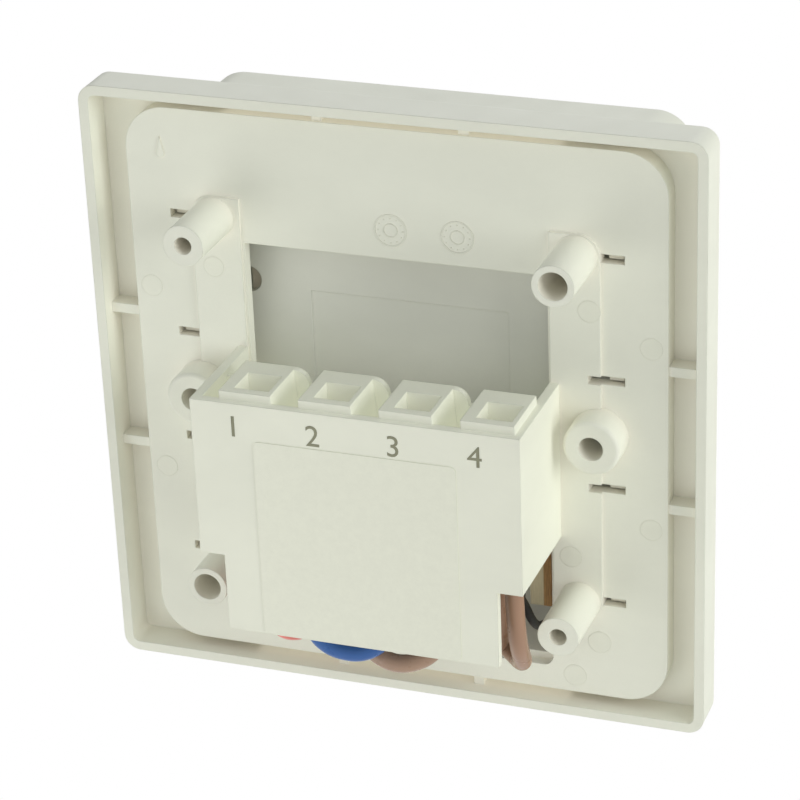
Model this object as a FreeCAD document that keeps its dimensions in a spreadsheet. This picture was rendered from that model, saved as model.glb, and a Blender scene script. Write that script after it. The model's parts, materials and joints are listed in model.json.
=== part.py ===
import FreeCAD, Part
import math
import os
import re
import Sketcher

# Wall timer switch, modelled in millimetres.
# +X is the right-hand side seen from the front, +Z is up and the front faces -Y.
# The origin is the centre of the wall plate, in the plane of its rear rim that lies on the wall.
# Depths count forward from that wall plane, so a point at depth d has Y = -d,
# and everything that goes into the wall box has a negative depth.

SIZES = {
    "Wall plate": {
        "plate_size": 92.0,
        "plate_depth": 7.0,
        "plate_corner": 2.5,
        "plate_edge": 1.2,
        "rim_wall": 1.5,
        "groove_depth": 5.0,
        "groove_side": 4.45,
        "groove_top": 1.5,
        "deck_corner": 6.5,
        "deck_depth": 1.85,
        "deck_wall": 1.8,
        "strip_rise": 0.5,
        "strip_inner": 23.0,
        "strip_outer": 30.4,
        "strip_reach": 30.3,
        "strip_corner": 3.1,
        "rib_spacing": 21.6,
        "rib_wall": 1.5,
        "rib_drop": 0.4,
        "window_width": 45.3,
        "window_top": 23.5,
        "window_margin": 3.9,
        "window_corner": 1.5,
        "slot_high": 27.0,
        "slot_low": 8.5,
        "slot_width": 1.3,
        "slot_inner": 28.5,
        "slot_outer": 33.8,
    },
    "Pillars and fixing bosses": {
        "pillar_spacing_x": 54.0,
        "pillar_spacing_z": 54.4,
        "pillar_radius": 3.05,
        "pillar_end": 9.6,
        "pillar_hole_small": 1.3,
        "pillar_hole_large": 2.1,
        "pillar_hole_deep": 9.0,
        "fixing_spacing": 60.3,
        "fixing_hole": 1.8,
        "boss_radius": 4.15,
        "boss_end": 3.1,
        "boss_edge": 0.6,
    },
    "Front case": {
        "case_corner": 5.5,
        "case_edge": 1.5,
        "case_wall": 1.8,
        "case_gap": 0.15,
        "fascia_wall": 1.8,
        "fascia_fit": 0.05,
        "recess_rim": 2.5,
        "recess_corner": 3.5,
        "recess_top_corner": 0.6,
        "well_radius": 4.2,
        "well_wall": 1.2,
        "well_margin": 1.45,
        "tab_clearance": 0.45,
        "tab_setback": 1.3,
        "tab_start": 0.8,
        "tab_root": 8.5,
        "case_post": 1.9,
        "post_pilot": 1.05,
        "post_pilot_deep": 7.4,
    },
    "Flap": {
        "flap_gap": 0.3,
        "flap_wall": 1.8,
        "flap_drop": 2.1,
        "flap_barrel": 1.6,
        "flap_pin": 1.0,
        "flap_pin_reach": 1.4,
        "flap_corner": 3.2,
        "notch_radius": 9.0,
        "notch_rise": 2.0,
        "hinge_clearance": 0.05,
    },
    "Dial": {
        "dial_wall": 4.5,
        "dial_play": 0.1,
        "dial_proud": 1.1,
        "dial_gap": 0.6,
        "dial_side_gap": 0.15,
        "tappet_count": 48.0,
        "tappet_group_count": 12.0,
        "tappet_inset": 0.9,
        "tappet_reach": 3.0,
        "tappet_width": 1.9,
        "tappet_length": 6.0,
        "tappet_travel": 1.5,
        "tappet_gap": 0.1,
        "band_drop": 0.5,
        "band_inset": 1.5,
        "band_margin": 1.1,
        "knob_radius": 7.5,
        "knob_height": 2.0,
        "knob_flutes": 12.0,
        "knob_flute_radius": 1.1,
        "knob_skin": 0.7,
        "knob_clearance": 0.6,
        "clip_radius": 2.8,
        "clip_wall": 0.5,
        "clip_clearance": 0.4,
        "arbor_radius": 1.5,
        "arbor_end_gap": 0.2,
        "shaft_clearance": 0.05,
        "washer_outer": 9.5,
        "washer_wall": 0.4,
        "seat_gap": 0.03,
    },
    "Gear train": {
        "gear_module": 0.3,
        "dial_teeth": 96.0,
        "idler_pinion_teeth": 12.0,
        "idler_teeth": 60.0,
        "motor_teeth": 10.0,
        "tooth_play": 0.04,
        "dial_gear_wall": 1.4,
        "gear_gap": 0.7,
        "idler_wall": 1.0,
        "idler_gap": 0.5,
        "idler_angle": 60.0,
        "motor_turn": 210.0,
        "idler_arbor_radius": 0.8,
        "shaft_radius": 0.75,
    },
    "Movement": {
        "cover_left": 24.5,
        "cover_right": 24.5,
        "cover_top_margin": 4.8,
        "cover_bottom": 22.5,
        "cover_depth": 7.4,
        "cover_wall": 1.6,
        "cover_corner": 2.0,
        "cover_notch_z": 15.4,
        "cover_notch_radius": 2.0,
        "cover_notch_offset": 0.2,
        "cover_notch_deep": 1.0,
        "cover_recess_width": 30.0,
        "cover_recess_top": 14.6,
        "cover_recess_bottom": 20.0,
        "cover_recess_deep": 0.2,
        "post_inset_left": 2.5,
        "post_inset_right": 6.3,
        "post_inset_top": 4.0,
        "post_gap_left": 1.7,
        "post_gap_right": 0.7,
        "frame_left": 23.0,
        "frame_right": 20.2,
        "frame_margin": 0.5,
        "frame_low_margin": 1.74,
        "frame_wall": 1.0,
        "pillar_left": 20.0,
        "pillar_right": 16.0,
        "pillar_high": 26.0,
        "pillar_low": 10.5,
        "spacer_radius": 1.8,
        "screw_radius": 1.0,
        "screw_head": 2.0,
        "screw_small_head": 1.75,
        "screw_head_height": 1.0,
        "screw_slot": 0.5,
        "cover_screw_bite": 6.9,
    },
    "Motor": {
        "motor_radius": 17.0,
        "motor_length": 5.0,
        "motor_wall": 0.7,
        "motor_gap": 0.4,
        "motor_offset": 5.0,
        "ear_offset": 2.5,
        "ear_radius": 2.4,
        "ear_wall": 0.8,
        "coil_inner": 9.0,
        "coil_gap": 0.8,
        "coil_play": 0.4,
        "rotor_gap": 1.6,
        "rotor_play": 0.6,
        "rotor_pin": 0.5,
        "tag_spacing": 8.0,
        "tag_width": 2.0,
        "tag_wall": 0.6,
        "tag_z": 8.5,
        "tag_reach": 3.4,
        "tag_gap": 0.1,
    },
    "Microswitch and lever": {
        "switch_height": 14.3,
        "switch_depth": 6.7,
        "switch_foot": 1.7,
        "switch_end": 2.5,
        "switch_clearance": 0.8,
        "switch_wall": 1.0,
        "switch_post": 1.95,
        "plunger_radius": 1.2,
        "plunger_offset": 6.5,
        "plunger_proud": 1.15,
        "plunger_length": 3.6,
        "plunger_travel": 0.95,
        "blade_width": 3.4,
        "blade_wall": 0.3,
        "contact_radius": 1.5,
        "contact_reach": 9.0,
        "switch_tab_spacing": 10.0,
        "switch_tab_width": 4.0,
        "switch_tab_wall": 0.8,
        "switch_tab_length": 3.6,
        "switch_tab_inset": 6.2,
        "switch_screw_inset": 1.9,
        "switch_screw_bite": 1.8,
        "switch_pilot_deep": 3.6,
        "lever_drop": 1.1,
        "lever_heel": 0.65,
        "lever_tip_inset": 0.7,
        "lever_shoe_gap": 1.1,
        "lever_width": 3.4,
        "lever_wall": 1.0,
        "lever_eye": 1.5,
        "lever_pin_radius": 0.8,
        "lever_tip_width": 1.6,
        "lever_play": 0.1,
        "lug_wall": 1.4,
        "lug_gap": 0.3,
    },
    "Mode slider and indicator": {
        "slider_drop": 5.4,
        "slider_width": 6.0,
        "slider_height": 3.3,
        "slider_travel": 4.0,
        "slider_proud": 1.6,
        "slider_gap": 0.15,
        "shoe_side": 2.5,
        "shoe_edge": 1.25,
        "shoe_wall": 1.1,
        "lens_x": 26.0,
        "lens_z": 31.0,
        "lens_radius": 2.0,
        "lens_flange": 2.8,
        "lens_proud": 0.8,
        "lamp_radius": 1.7,
        "lamp_length": 6.5,
    },
    "Terminal box": {
        "box_width": 48.6,
        "box_top": 7.4,
        "box_shoulder": 17.0,
        "box_bottom": 29.1,
        "box_tail_width": 41.1,
        "box_end": 17.0,
        "box_wall": 1.4,
        "box_edge": 0.7,
        "cell_count": 4.0,
        "cell_edge": 4.1,
        "cell_end": 1.1,
        "cell_width": 7.7,
        "cell_top": 8.7,
        "cell_bottom": 3.0,
        "cell_depth": 9.8,
        "cell_wall": 1.0,
        "cell_slope": 1.0,
        "gap_floor_drop": 6.4,
        "gap_wall": 1.0,
        "shoulder_radius": 2.3,
        "entry_offset": 1.8,
        "entry_size": 5.2,
        "leg_motor_gap": 0.6,
        "leg_wall": 2.3,
        "leg_bottom": 15.0,
        "leg_screw_z": 6.0,
        "leg_screw_bite": 4.6,
        "leg_pilot": 0.7,
        "leg_pilot_deep": 6.0,
        "bar_width": 3.8,
        "bar_wall": 0.8,
        "bar_top": 3.6,
        "bar_bottom": 12.0,
        "leaf_wall": 0.35,
        "leaf_bottom": 6.0,
        "leaf_tip_z": 2.0,
        "leaf_tip_gap": 1.2,
        "label_width": 30.0,
        "label_top": 1.9,
        "label_margin": 0.2,
        "label_wall": 0.12,
        "label_corner": 0.8,
    },
    "Leads": {
        "lead_radius": 1.35,
        "lead_thin_radius": 0.65,
        "board_wall": 3.2,
        "board_gap": 0.3,
        "board_depth": 5.1,
        "board_top": 19.8,
        "board_bottom": 29.4,
    },
}

# Sizes that follow from the ones above, in the order in which each needs the one before.
DERIVED = {
    "Across the plate": {
        "deck_width": "plate_size - 2 * (rim_wall + groove_side)",
        "deck_height": "plate_size - 2 * (rim_wall + groove_top)",
        "window_bottom": "deck_height / 2 - window_margin",
    },
    "Depths, from the wall plane forward": {
        "frame_depth": "cover_depth + cover_wall + motor_gap + motor_length",
        "idler_back": "frame_depth + frame_wall + idler_gap",
        "idler_front": "idler_back + idler_wall",
        "dial_gear_back": "idler_front + gear_gap",
        "dial_gear_front": "dial_gear_back + dial_gear_wall",
        "dial_back": "dial_gear_front + dial_play",
        "dial_face": "dial_back + dial_wall",
        "arbor_front": "dial_face + knob_height - knob_skin - arbor_end_gap",
        "fascia_depth": "dial_face - dial_proud",
        "case_depth": "dial_face + knob_height + knob_clearance + flap_wall",
        "lever_axis_depth": "dial_back - lever_drop",
        "plunger_front": "lever_axis_depth - lever_wall / 2 - lever_heel",
        "switch_front": "plunger_front - plunger_proud",
        "switch_back": "switch_front - switch_depth",
        "tag_end": "cover_depth - tag_reach",
        "tab_end": "deck_depth + tab_setback",
        "board_back": "cover_depth - board_depth",
    },
    "Depths of the box, from the wall plane to the rear": {
        "cell_near": "box_end - box_wall",
        "cell_far": "cell_near - cell_depth",
        "entry_near": "cell_near - cell_wall",
        "leg_root": "cell_far + box_wall / 2",
    },
    "Across the front": {
        "case_width": "fixing_spacing + 2 * (well_radius + well_wall + well_margin)",
        "recess_width": "case_width - 2 * recess_rim",
        "dial_radius": "fixing_spacing / 2 - well_radius - well_wall - dial_side_gap",
        "tappet_outer": "dial_radius - tappet_inset",
        "tappet_inner": "tappet_outer - tappet_reach",
        "number_outer": "tappet_inner - band_margin",
        "number_inner": "knob_radius + band_inset",
        "knob_hollow": "clip_radius + clip_clearance",
        "shoe_width": "slider_width + 2 * shoe_side",
        "shoe_height": "slider_height + 2 * shoe_edge",
        "switch_screw_x": "shoe_width / 2 + slider_travel + switch_post + shaft_clearance",
        "switch_width": "2 * (switch_screw_x + switch_end)",
        "tab_width": "slot_width - tab_clearance",
        "tab_outer": "slot_outer - tab_clearance",
        "tab_inner": "strip_outer + tab_start",
    },
    "Down the front, as distances below the dial's centre": {
        "slider_z": "dial_radius + slider_drop",
        "lever_axis_z": "slider_z + shoe_height / 2 + lever_eye + lever_shoe_gap",
        "lever_tip_z": "tappet_inner + lever_tip_inset",
        "plunger_z": "lever_axis_z - plunger_offset",
        "switch_bottom": "lever_axis_z + switch_foot",
        "switch_top": "switch_bottom - switch_height",
        "switch_screw_z": "switch_bottom - switch_screw_inset",
        "switch_tab_z": "switch_bottom - switch_tab_inset",
        "case_height": "2 * (switch_bottom + switch_clearance + case_wall)",
        "recess_height": "case_height - 2 * recess_rim",
        "flap_axis_z": "recess_height / 2 - flap_drop",
    },
    "Movement and motor": {
        "cover_top": "case_height / 2 - cover_top_margin",
        "post_left": "cover_left - post_inset_left",
        "post_right": "cover_right - post_inset_right",
        "post_high": "cover_top - post_inset_top",
        "post_low_left": "sqrt((dial_radius + case_post + post_gap_left)^2 - post_left^2)",
        "post_low_right": "sqrt((dial_radius + case_post + post_gap_right)^2 - post_right^2)",
        "frame_top": "post_high - case_post - frame_margin",
        "frame_bottom": "post_low_left - case_post - frame_low_margin",
        "ear_reach": "motor_radius + ear_offset",
        "coil_outer": "motor_radius - motor_wall - coil_gap",
        "coil_length": "motor_length - 2 * motor_wall - coil_play",
        "rotor_radius": "coil_inner - rotor_gap",
        "rotor_length": "motor_length - 2 * motor_wall - rotor_play",
    },
    "Terminal box and leads": {
        "cell_first": "box_width / 2 - cell_edge",
        "cell_pitch": "(box_width - cell_edge - cell_width - cell_end) / (cell_count - 1)",
        "gap_floor": "box_top - gap_floor_drop",
        "leg_inner": "motor_radius + leg_motor_gap",
        "leg_outer": "leg_inner + leg_wall",
        "label_bottom": "box_bottom - label_margin",
        "board_outer": "window_width / 2 - board_gap",
    },
}

# Routes of the internal leads, chosen by hand to clear the pieces they pass. Each starts beside a terminal
# bar, counted from +X, and ends at a place named in lead_ends. Its points are X, Y, Z offsets, the first list
# from the bar's lower edge and the second from the far end.
LEAD_ROUTES = {
    "lead_brown_outer": {
        "radius": "lead_radius",
        "bar": 3,
        "end": "left_tab",
        "start": [(-1.5, -1.7, 3), (-1.3, -2.2, -7), (-1.4, -3.2, -16.5), (-0.7, -8.4, -23.4)],
        "finish": [(-6, 5.6, -4.6), (0, 4.2, 0), (0, 0, 0)],
    },
    "lead_brown_inner": {
        "radius": "lead_radius",
        "bar": 3,
        "end": "left_tag",
        "start": [(1.6, -1.7, 3), (1.9, -5, -6.5), (2.3, -8, -15.6), (3.5, -8.9, -21.4),
                  (7.9, -9.2, -22.4), (10, -12.6, -16.4)],
        "finish": [(-1.81, 1, -12.2), (-0.01, -1.4, -6.2), (-0.01, -1.4, 0)],
    },
    "lead_black": {
        "radius": "lead_thin_radius",
        "bar": 2,
        "end": "lamp",
        "start": [(0, -1.7, 3), (-2.8, -5.2, -3.5), (-7.4, -10, -9), (-11, -12.2, -14),
                  (-12.8, -13, -19.6), (-13.2, -20.4, -22.2)],
        "finish": [(0, 4, 0), (0, 0, 0)],
    },
    "lead_blue": {
        "radius": "lead_radius",
        "bar": 1,
        "end": "right_tag",
        "start": [(0, -1.7, 3), (3.5, -1.6, -5), (6.7, -1.4, -14), (4.7, -2.6, -21.6),
                  (-2.7, -3.4, -22.4), (-6.5, -7.4, -16.6)],
        "finish": [(-1.41, 2.4, -12.2), (-0.01, -1.4, -6.8), (-0.01, -1.4, 0)],
    },
    "lead_tan": {
        "radius": "lead_radius",
        "bar": 0,
        "end": "middle_tab",
        "start": [(-1.6, -1.7, 3), (-3.2, -5.6, -5.5), (-6.4, -8.2, -14), (-10.8, -7, -21.8),
                  (-17.4, -5.6, -25.3), (-23.8, -7.2, -22.6)],
        "finish": [(-6.4, 6, 0.4), (0, 4, 0), (0, 0, 0)],
    },
    "lead_red": {
        "radius": "lead_radius",
        "bar": 0,
        "end": "right_tab",
        "start": [(1.5, -1.7, 3), (2.8, -2.4, -5.5), (2.2, -3.2, -14), (0, -5.4, -22.4),
                  (-4.4, -10.4, -22.3)],
        "finish": [(0, 4, 0), (0, 0, 0)],
    },
}

doc = FreeCAD.newDocument("timer_switch")
sheet = doc.addObject("Spreadsheet::Sheet", "dims")
names = set()
row = 1
for heading, group in (*SIZES.items(), *DERIVED.items()):
    sheet.set(f"A{row}", heading)
    row += 1
    for alias, value in group.items():
        sheet.set(f"A{row}", alias)
        sheet.setAlias(f"B{row}", alias)
        sheet.set(f"B{row}", f"={value}")
        names.add(alias)
        row += 1
doc.recompute()

nodes = []


def expression(text):
    """Turns a formula of plain size names into one that points at the sheet's cells."""
    def cell(word):
        return f"dims.{word[0]}" if word[0] in names else word[0]

    return re.sub(r"[a-z][a-z_0-9]*", cell, str(text))


def size(alias):
    """Reads one size from the sheet."""
    return float(sheet.get(alias))


def bind(item, target, text):
    item.setExpression(target, expression(text))


def node(label, item):
    """Gives a finished sub-part its name."""
    item.Label = label
    nodes.append(item)
    return item


# Part primitives, bound to the sheet

def slab(name, x, depth, z):
    """A block between two X values, two depths (rear, front) and two Z values."""
    block = doc.addObject("Part::Box", name)
    bind(block, "Length", f"({x[1]}) - ({x[0]})")
    bind(block, "Width", f"({depth[1]}) - ({depth[0]})")
    bind(block, "Height", f"({z[1]}) - ({z[0]})")
    bind(block, "Placement.Base.x", x[0])
    bind(block, "Placement.Base.y", f"-({depth[1]})")
    bind(block, "Placement.Base.z", z[0])
    return block


def rod(name, radius, depth, x, z):
    """A cylinder along Y between two depths (rear, front)."""
    pin = doc.addObject("Part::Cylinder", name)
    pin.Placement = FreeCAD.Placement(FreeCAD.Vector(), FreeCAD.Rotation(FreeCAD.Vector(1, 0, 0), 90))
    bind(pin, "Radius", radius)
    bind(pin, "Height", f"({depth[1]}) - ({depth[0]})")
    bind(pin, "Placement.Base.x", x)
    bind(pin, "Placement.Base.y", f"-({depth[0]})")
    bind(pin, "Placement.Base.z", z)
    return pin


def cross_rod(name, radius, x, depth, z):
    """A cylinder along X between two X values."""
    pin = doc.addObject("Part::Cylinder", name)
    pin.Placement = FreeCAD.Placement(FreeCAD.Vector(), FreeCAD.Rotation(FreeCAD.Vector(0, 1, 0), 90))
    bind(pin, "Radius", radius)
    bind(pin, "Height", f"({x[1]}) - ({x[0]})")
    bind(pin, "Placement.Base.x", x[0])
    bind(pin, "Placement.Base.y", f"-({depth})")
    bind(pin, "Placement.Base.z", z)
    return pin


def fuse(name, pieces):
    joined = doc.addObject("Part::MultiFuse", name)
    joined.Shapes = pieces
    joined.Refine = True
    return joined


def cut(name, base, tools):
    """Cuts the tools out of the base."""
    tool = tools[0] if len(tools) == 1 else fuse(f"{name}_tools", tools)
    trimmed = doc.addObject("Part::Cut", name)
    trimmed.Base = base
    trimmed.Tool = tool
    trimmed.Refine = True
    return trimmed


def group(name, pieces):
    """Keeps like pieces together in one node as separate solids."""
    bundle = doc.addObject("Part::Compound", name)
    bundle.Links = pieces
    return bundle


# PartDesign bodies, with sketches on the XZ plane at a stated depth

def new_body(name):
    return doc.addObject("PartDesign::Body", name)


def plane(body, role):
    return next(feature for feature in body.Origin.OriginFeatures if feature.Role == role)


def face_sketch(body, name, depth):
    """A sketch parallel to the wall; its own x and y run along X and Z."""
    sketch = body.newObject("Sketcher::SketchObject", name)
    sketch.AttachmentSupport = [(plane(body, "XZ_Plane"), "")]
    sketch.MapMode = "FlatFace"
    bind(sketch, "AttachmentOffset.Base.z", depth)
    return sketch


def rectangle(sketch, x, z):
    """Draws one rectangle whose four sides are bound to the sheet."""
    numbers = [float_of(text) for text in (*x, *z)]
    left, right, low, high = numbers
    corners = [(left, low), (right, low), (right, high), (left, high)]
    first = sketch.GeometryCount
    for index in range(4):
        start = FreeCAD.Vector(*corners[index], 0)
        end = FreeCAD.Vector(*corners[(index + 1) % 4], 0)
        sketch.addGeometry(Part.LineSegment(start, end), False)
    for index in range(4):
        follower = first + (index + 1) % 4
        sketch.addConstraint(Sketcher.Constraint("Coincident", first + index, 2, follower, 1))
    for index, direction in enumerate(("Horizontal", "Vertical", "Horizontal", "Vertical")):
        sketch.addConstraint(Sketcher.Constraint(direction, first + index))
    for line, kind, text in ((0, "DistanceX", x[0]), (0, "DistanceY", z[0]),
                             (2, "DistanceX", x[1]), (2, "DistanceY", z[1])):
        place = sketch.addConstraint(Sketcher.Constraint(kind, -1, 1, first + line, 1, float_of(text)))
        bind(sketch, f"Constraints[{place}]", text)


def circle(sketch, radius, x, z):
    """Draws one circle bound to the sheet."""
    centre = FreeCAD.Vector(float_of(x), float_of(z), 0)
    place = sketch.addGeometry(Part.Circle(centre, FreeCAD.Vector(0, 0, 1), float_of(radius)), False)
    for kind, text in (("DistanceX", x), ("DistanceY", z)):
        number = float_of(text)
        if number == 0:
            axis = -2 if kind == "DistanceX" else -1
            sketch.addConstraint(Sketcher.Constraint("PointOnObject", place, 3, axis))
        else:
            index = sketch.addConstraint(Sketcher.Constraint(kind, -1, 1, place, 3, number))
            bind(sketch, f"Constraints[{index}]", text)
    index = sketch.addConstraint(Sketcher.Constraint("Radius", place, float_of(radius)))
    bind(sketch, f"Constraints[{index}]", radius)


probe = doc.addObject("App::FeaturePython", "probe")
probe.addProperty("App::PropertyFloat", "Value")


def float_of(text):
    """Works out a formula of size names through the sheet."""
    bind(probe, "Value", f"({text}) * 1")
    probe.recompute()
    return float(probe.Value)


def pad(body, name, depth, length, draw, rearward=False):
    """Adds material from a depth: forward, or rearward when asked."""
    sketch = face_sketch(body, f"{name}_sketch", depth)
    draw(sketch)
    feature = body.newObject("PartDesign::Pad", name)
    feature.Profile = sketch
    feature.Reversed = rearward
    bind(feature, "Length", length)
    doc.recompute()
    return feature


def pocket(body, name, depth, length, draw, forward=False):
    """Removes material from a depth: rearward, or forward when asked. It must really cut."""
    before = body.Shape.Volume
    sketch = face_sketch(body, f"{name}_sketch", depth)
    draw(sketch)
    feature = body.newObject("PartDesign::Pocket", name)
    feature.Profile = sketch
    feature.Reversed = forward
    bind(feature, "Length", length)
    doc.recompute()
    if body.Shape.Volume >= before:
        raise RuntimeError(f"{name} removes nothing")
    return feature


def round_edges(body, name, radius, wanted):
    """Rounds the edges of the body that the test picks."""
    tip = body.Tip
    picked = [f"Edge{index + 1}" for index, edge in enumerate(tip.Shape.Edges) if wanted(edge)]
    if not picked:
        raise RuntimeError(f"{name} finds no edge")
    feature = body.newObject("PartDesign::Fillet", name)
    feature.Base = (tip, picked)
    bind(feature, "Radius", radius)
    doc.recompute()
    return feature


def rounded_block(name, half_x, half_z, depth, length, corner):
    """A new body: a block about the centre lines, from a depth forward, with rounded corners."""
    body = new_body(name)
    pad(body, f"{name}_block", depth, length,
        lambda s: rectangle(s, (f"-({half_x})", half_x), (f"-({half_z})", half_z)))
    round_edges(body, f"{name}_corners", corner,
                lambda edge: along_depth(edge, float_of(half_x), float_of(half_z)))
    return body


NEAR = 0.02


def near(value, target):
    return abs(value - target) < NEAR


def along_depth(edge, x, z):
    """True for a straight edge along Y at a given distance from the centre lines."""
    box = edge.BoundBox
    straight = box.XLength < NEAR and box.ZLength < NEAR and box.YLength > NEAR
    return straight and near(abs(box.Center.x), x) and near(abs(box.Center.z), z)


def at_depth(edge, depth):
    box = edge.BoundBox
    return box.YLength < NEAR and near(-box.Center.y, depth)


def signs():
    return ((-1, 1), (1, 1), (-1, -1), (1, -1))


# Places worked out once, as formulas of the sizes

HALF = "plate_size / 2"
DECK_FRONT = "deck_depth + deck_wall"
FASCIA_BACK = "fascia_depth - fascia_wall"
COVER_FRONT = "cover_depth + cover_wall"
FRAME_FRONT = "frame_depth + frame_wall"
FLAP_AXIS_DEPTH = "case_depth - flap_barrel"
MOTOR_BACK = "frame_depth - motor_length"
IDLER_REACH = "gear_module * (dial_teeth + idler_pinion_teeth) / 2"
MOTOR_REACH = "gear_module * (idler_teeth + motor_teeth) / 2"
IDLER_X = f"{IDLER_REACH} * cos(idler_angle * 1deg)"
IDLER_Z = f"{IDLER_REACH} * sin(idler_angle * 1deg)"
PINION_X = f"({IDLER_X}) + {MOTOR_REACH} * cos(motor_turn * 1deg)"
PINION_Z = f"({IDLER_Z}) + {MOTOR_REACH} * sin(motor_turn * 1deg)"
MOTOR_Z = f"({PINION_Z}) - motor_offset"
LEVER_FRONT = "lever_axis_depth + lever_wall / 2"
LEVER_BACK = "lever_axis_depth - lever_wall / 2"

# Form of a gear tooth: how far it reaches below and above the pitch circle, in modules,
# and its width at the root, the pitch circle and the tip as a share of one tooth and its gap.
TOOTH_DEPTH = 1.25
TOOTH_HEIGHT = 0.95
TOOTH_AT_ROOT = 0.78
TOOTH_AT_PITCH = 0.5
TOOTH_AT_TIP = 0.26


def cell_left(index):
    """X of a terminal cell's outer side; the cells run from +X to -X."""
    return f"cell_first - {index} * cell_pitch"


def entry_middle(index):
    return f"{cell_left(index)} - entry_offset - entry_size / 2"


def build_back_plate():
    """Square plate, open at the rear: rim, groove, raised deck, ribs, strips, pillars and bosses."""
    body = rounded_block("back_plate", HALF, HALF, "0", "plate_depth", "plate_corner")
    half = size("plate_size") / 2
    inner = f"{HALF} - rim_wall"
    pocket(body, "rim_hollow", "0", "groove_depth",
           lambda s: rectangle(s, (f"-({inner})", inner), (f"-({inner})", inner)), True)
    wall = half - size("rim_wall")
    round_edges(body, "rim_inner_corners", "plate_corner - rim_wall",
                lambda edge: along_depth(edge, wall, wall))
    pad(body, "deck", "deck_depth", "groove_depth - deck_depth",
        lambda s: rectangle(s, ("-deck_width / 2", "deck_width / 2"),
                            ("-deck_height / 2", "deck_height / 2")))
    round_edges(body, "deck_corners", "deck_corner",
                lambda edge: along_depth(edge, size("deck_width") / 2, size("deck_height") / 2))

    def ribs(sketch):
        reach = f"{HALF} - rim_wall / 2"
        for across in ("-1", "1"):
            middle = f"{across} * rib_spacing / 2"
            span = (f"{middle} - rib_wall / 2", f"{middle} + rib_wall / 2")
            rectangle(sketch, ("deck_width / 2 - rib_wall", reach), span)
            rectangle(sketch, (f"-({reach})", "-(deck_width / 2 - rib_wall)"), span)
            rectangle(sketch, span, ("deck_height / 2 - rib_wall", reach))
            rectangle(sketch, span, (f"-({reach})", "-(deck_height / 2 - rib_wall)"))

    pad(body, "ribs", "deck_depth + rib_drop", "groove_depth - deck_depth - rib_drop", ribs)

    def strips(sketch):
        reach = ("-strip_reach", "strip_reach")
        rectangle(sketch, ("strip_inner", "strip_outer"), reach)
        rectangle(sketch, ("-strip_outer", "-strip_inner"), reach)

    pad(body, "strips", "deck_depth - strip_rise", "strip_rise", strips)
    round_edges(body, "strip_corners", "strip_corner",
                lambda edge: along_depth(edge, size("strip_outer"), size("strip_reach")))

    def pillars(sketch):
        for x, z in signs():
            circle(sketch, "pillar_radius", f"{x} * pillar_spacing_x / 2", f"{z} * pillar_spacing_z / 2")

    pad(body, "pillars", "deck_depth", "deck_depth + pillar_end", pillars, True)

    def bosses(sketch):
        for x in (-1, 1):
            circle(sketch, "boss_radius", f"{x} * fixing_spacing / 2", "0")

    pad(body, "bosses", "deck_depth", "deck_depth + boss_end", bosses, True)
    round_edges(body, "boss_edges", "boss_edge",
                lambda edge: at_depth(edge, -size("boss_end")) and near(edge.BoundBox.XLength,
                                                                       2 * size("boss_radius")))
    pocket(body, "front_pocket", "plate_depth", f"plate_depth - ({DECK_FRONT})",
           lambda s: rectangle(s, ("-(case_width / 2 + case_gap)", "case_width / 2 + case_gap"),
                               ("-(case_height / 2 + case_gap)", "case_height / 2 + case_gap")))
    pocket_x = size("case_width") / 2 + size("case_gap")
    pocket_z = size("case_height") / 2 + size("case_gap")
    round_edges(body, "pocket_corners", "case_corner + case_gap",
                lambda edge: along_depth(edge, pocket_x, pocket_z))
    pocket(body, "window", "deck_depth - strip_rise", "deck_wall + strip_rise + window_corner",
           lambda s: rectangle(s, ("-window_width / 2", "window_width / 2"),
                               ("-window_bottom", "window_top")), True)
    round_edges(body, "window_corners", "window_corner",
                lambda edge: along_depth(edge, size("window_width") / 2, size("window_bottom")))

    def slots(sketch):
        # the two low slots on the -X side reach a little further in than the other six
        for z in (-1, 1):
            for place, start in (("slot_low", "slot_inner"), ("slot_high", "strip_outer")):
                middle = f"{z} * {place}"
                span = (f"{middle} - slot_width / 2", f"{middle} + slot_width / 2")
                rectangle(sketch, ("strip_outer", "slot_outer"), span)
                rectangle(sketch, ("-slot_outer", f"-{start}"), span)

    pocket(body, "slots", "deck_depth - strip_rise", "deck_wall + 2 * strip_rise", slots, True)

    def fixing_holes(sketch):
        for x in (-1, 1):
            circle(sketch, "fixing_hole", f"{x} * fixing_spacing / 2", "0")

    pocket(body, "fixing_holes", "-boss_end", "boss_end + plate_depth", fixing_holes, True)

    def small_holes(sketch):
        circle(sketch, "pillar_hole_small", "pillar_spacing_x / 2", "pillar_spacing_z / 2")
        circle(sketch, "pillar_hole_small", "-pillar_spacing_x / 2", "-pillar_spacing_z / 2")

    def large_holes(sketch):
        circle(sketch, "pillar_hole_large", "-pillar_spacing_x / 2", "pillar_spacing_z / 2")
        circle(sketch, "pillar_hole_large", "pillar_spacing_x / 2", "-pillar_spacing_z / 2")

    pocket(body, "pillar_holes_small", "-pillar_end", "pillar_hole_deep", small_holes, True)
    pocket(body, "pillar_holes_large", "-pillar_end", "pillar_hole_deep", large_holes, True)
    round_edges(body, "plate_front_edge", "plate_edge",
                lambda edge: at_depth(edge, size("plate_depth"))
                and max(abs(edge.CenterOfMass.x), abs(edge.CenterOfMass.z)) > half - size("plate_corner"))
    return node("back_plate", body)


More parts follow.
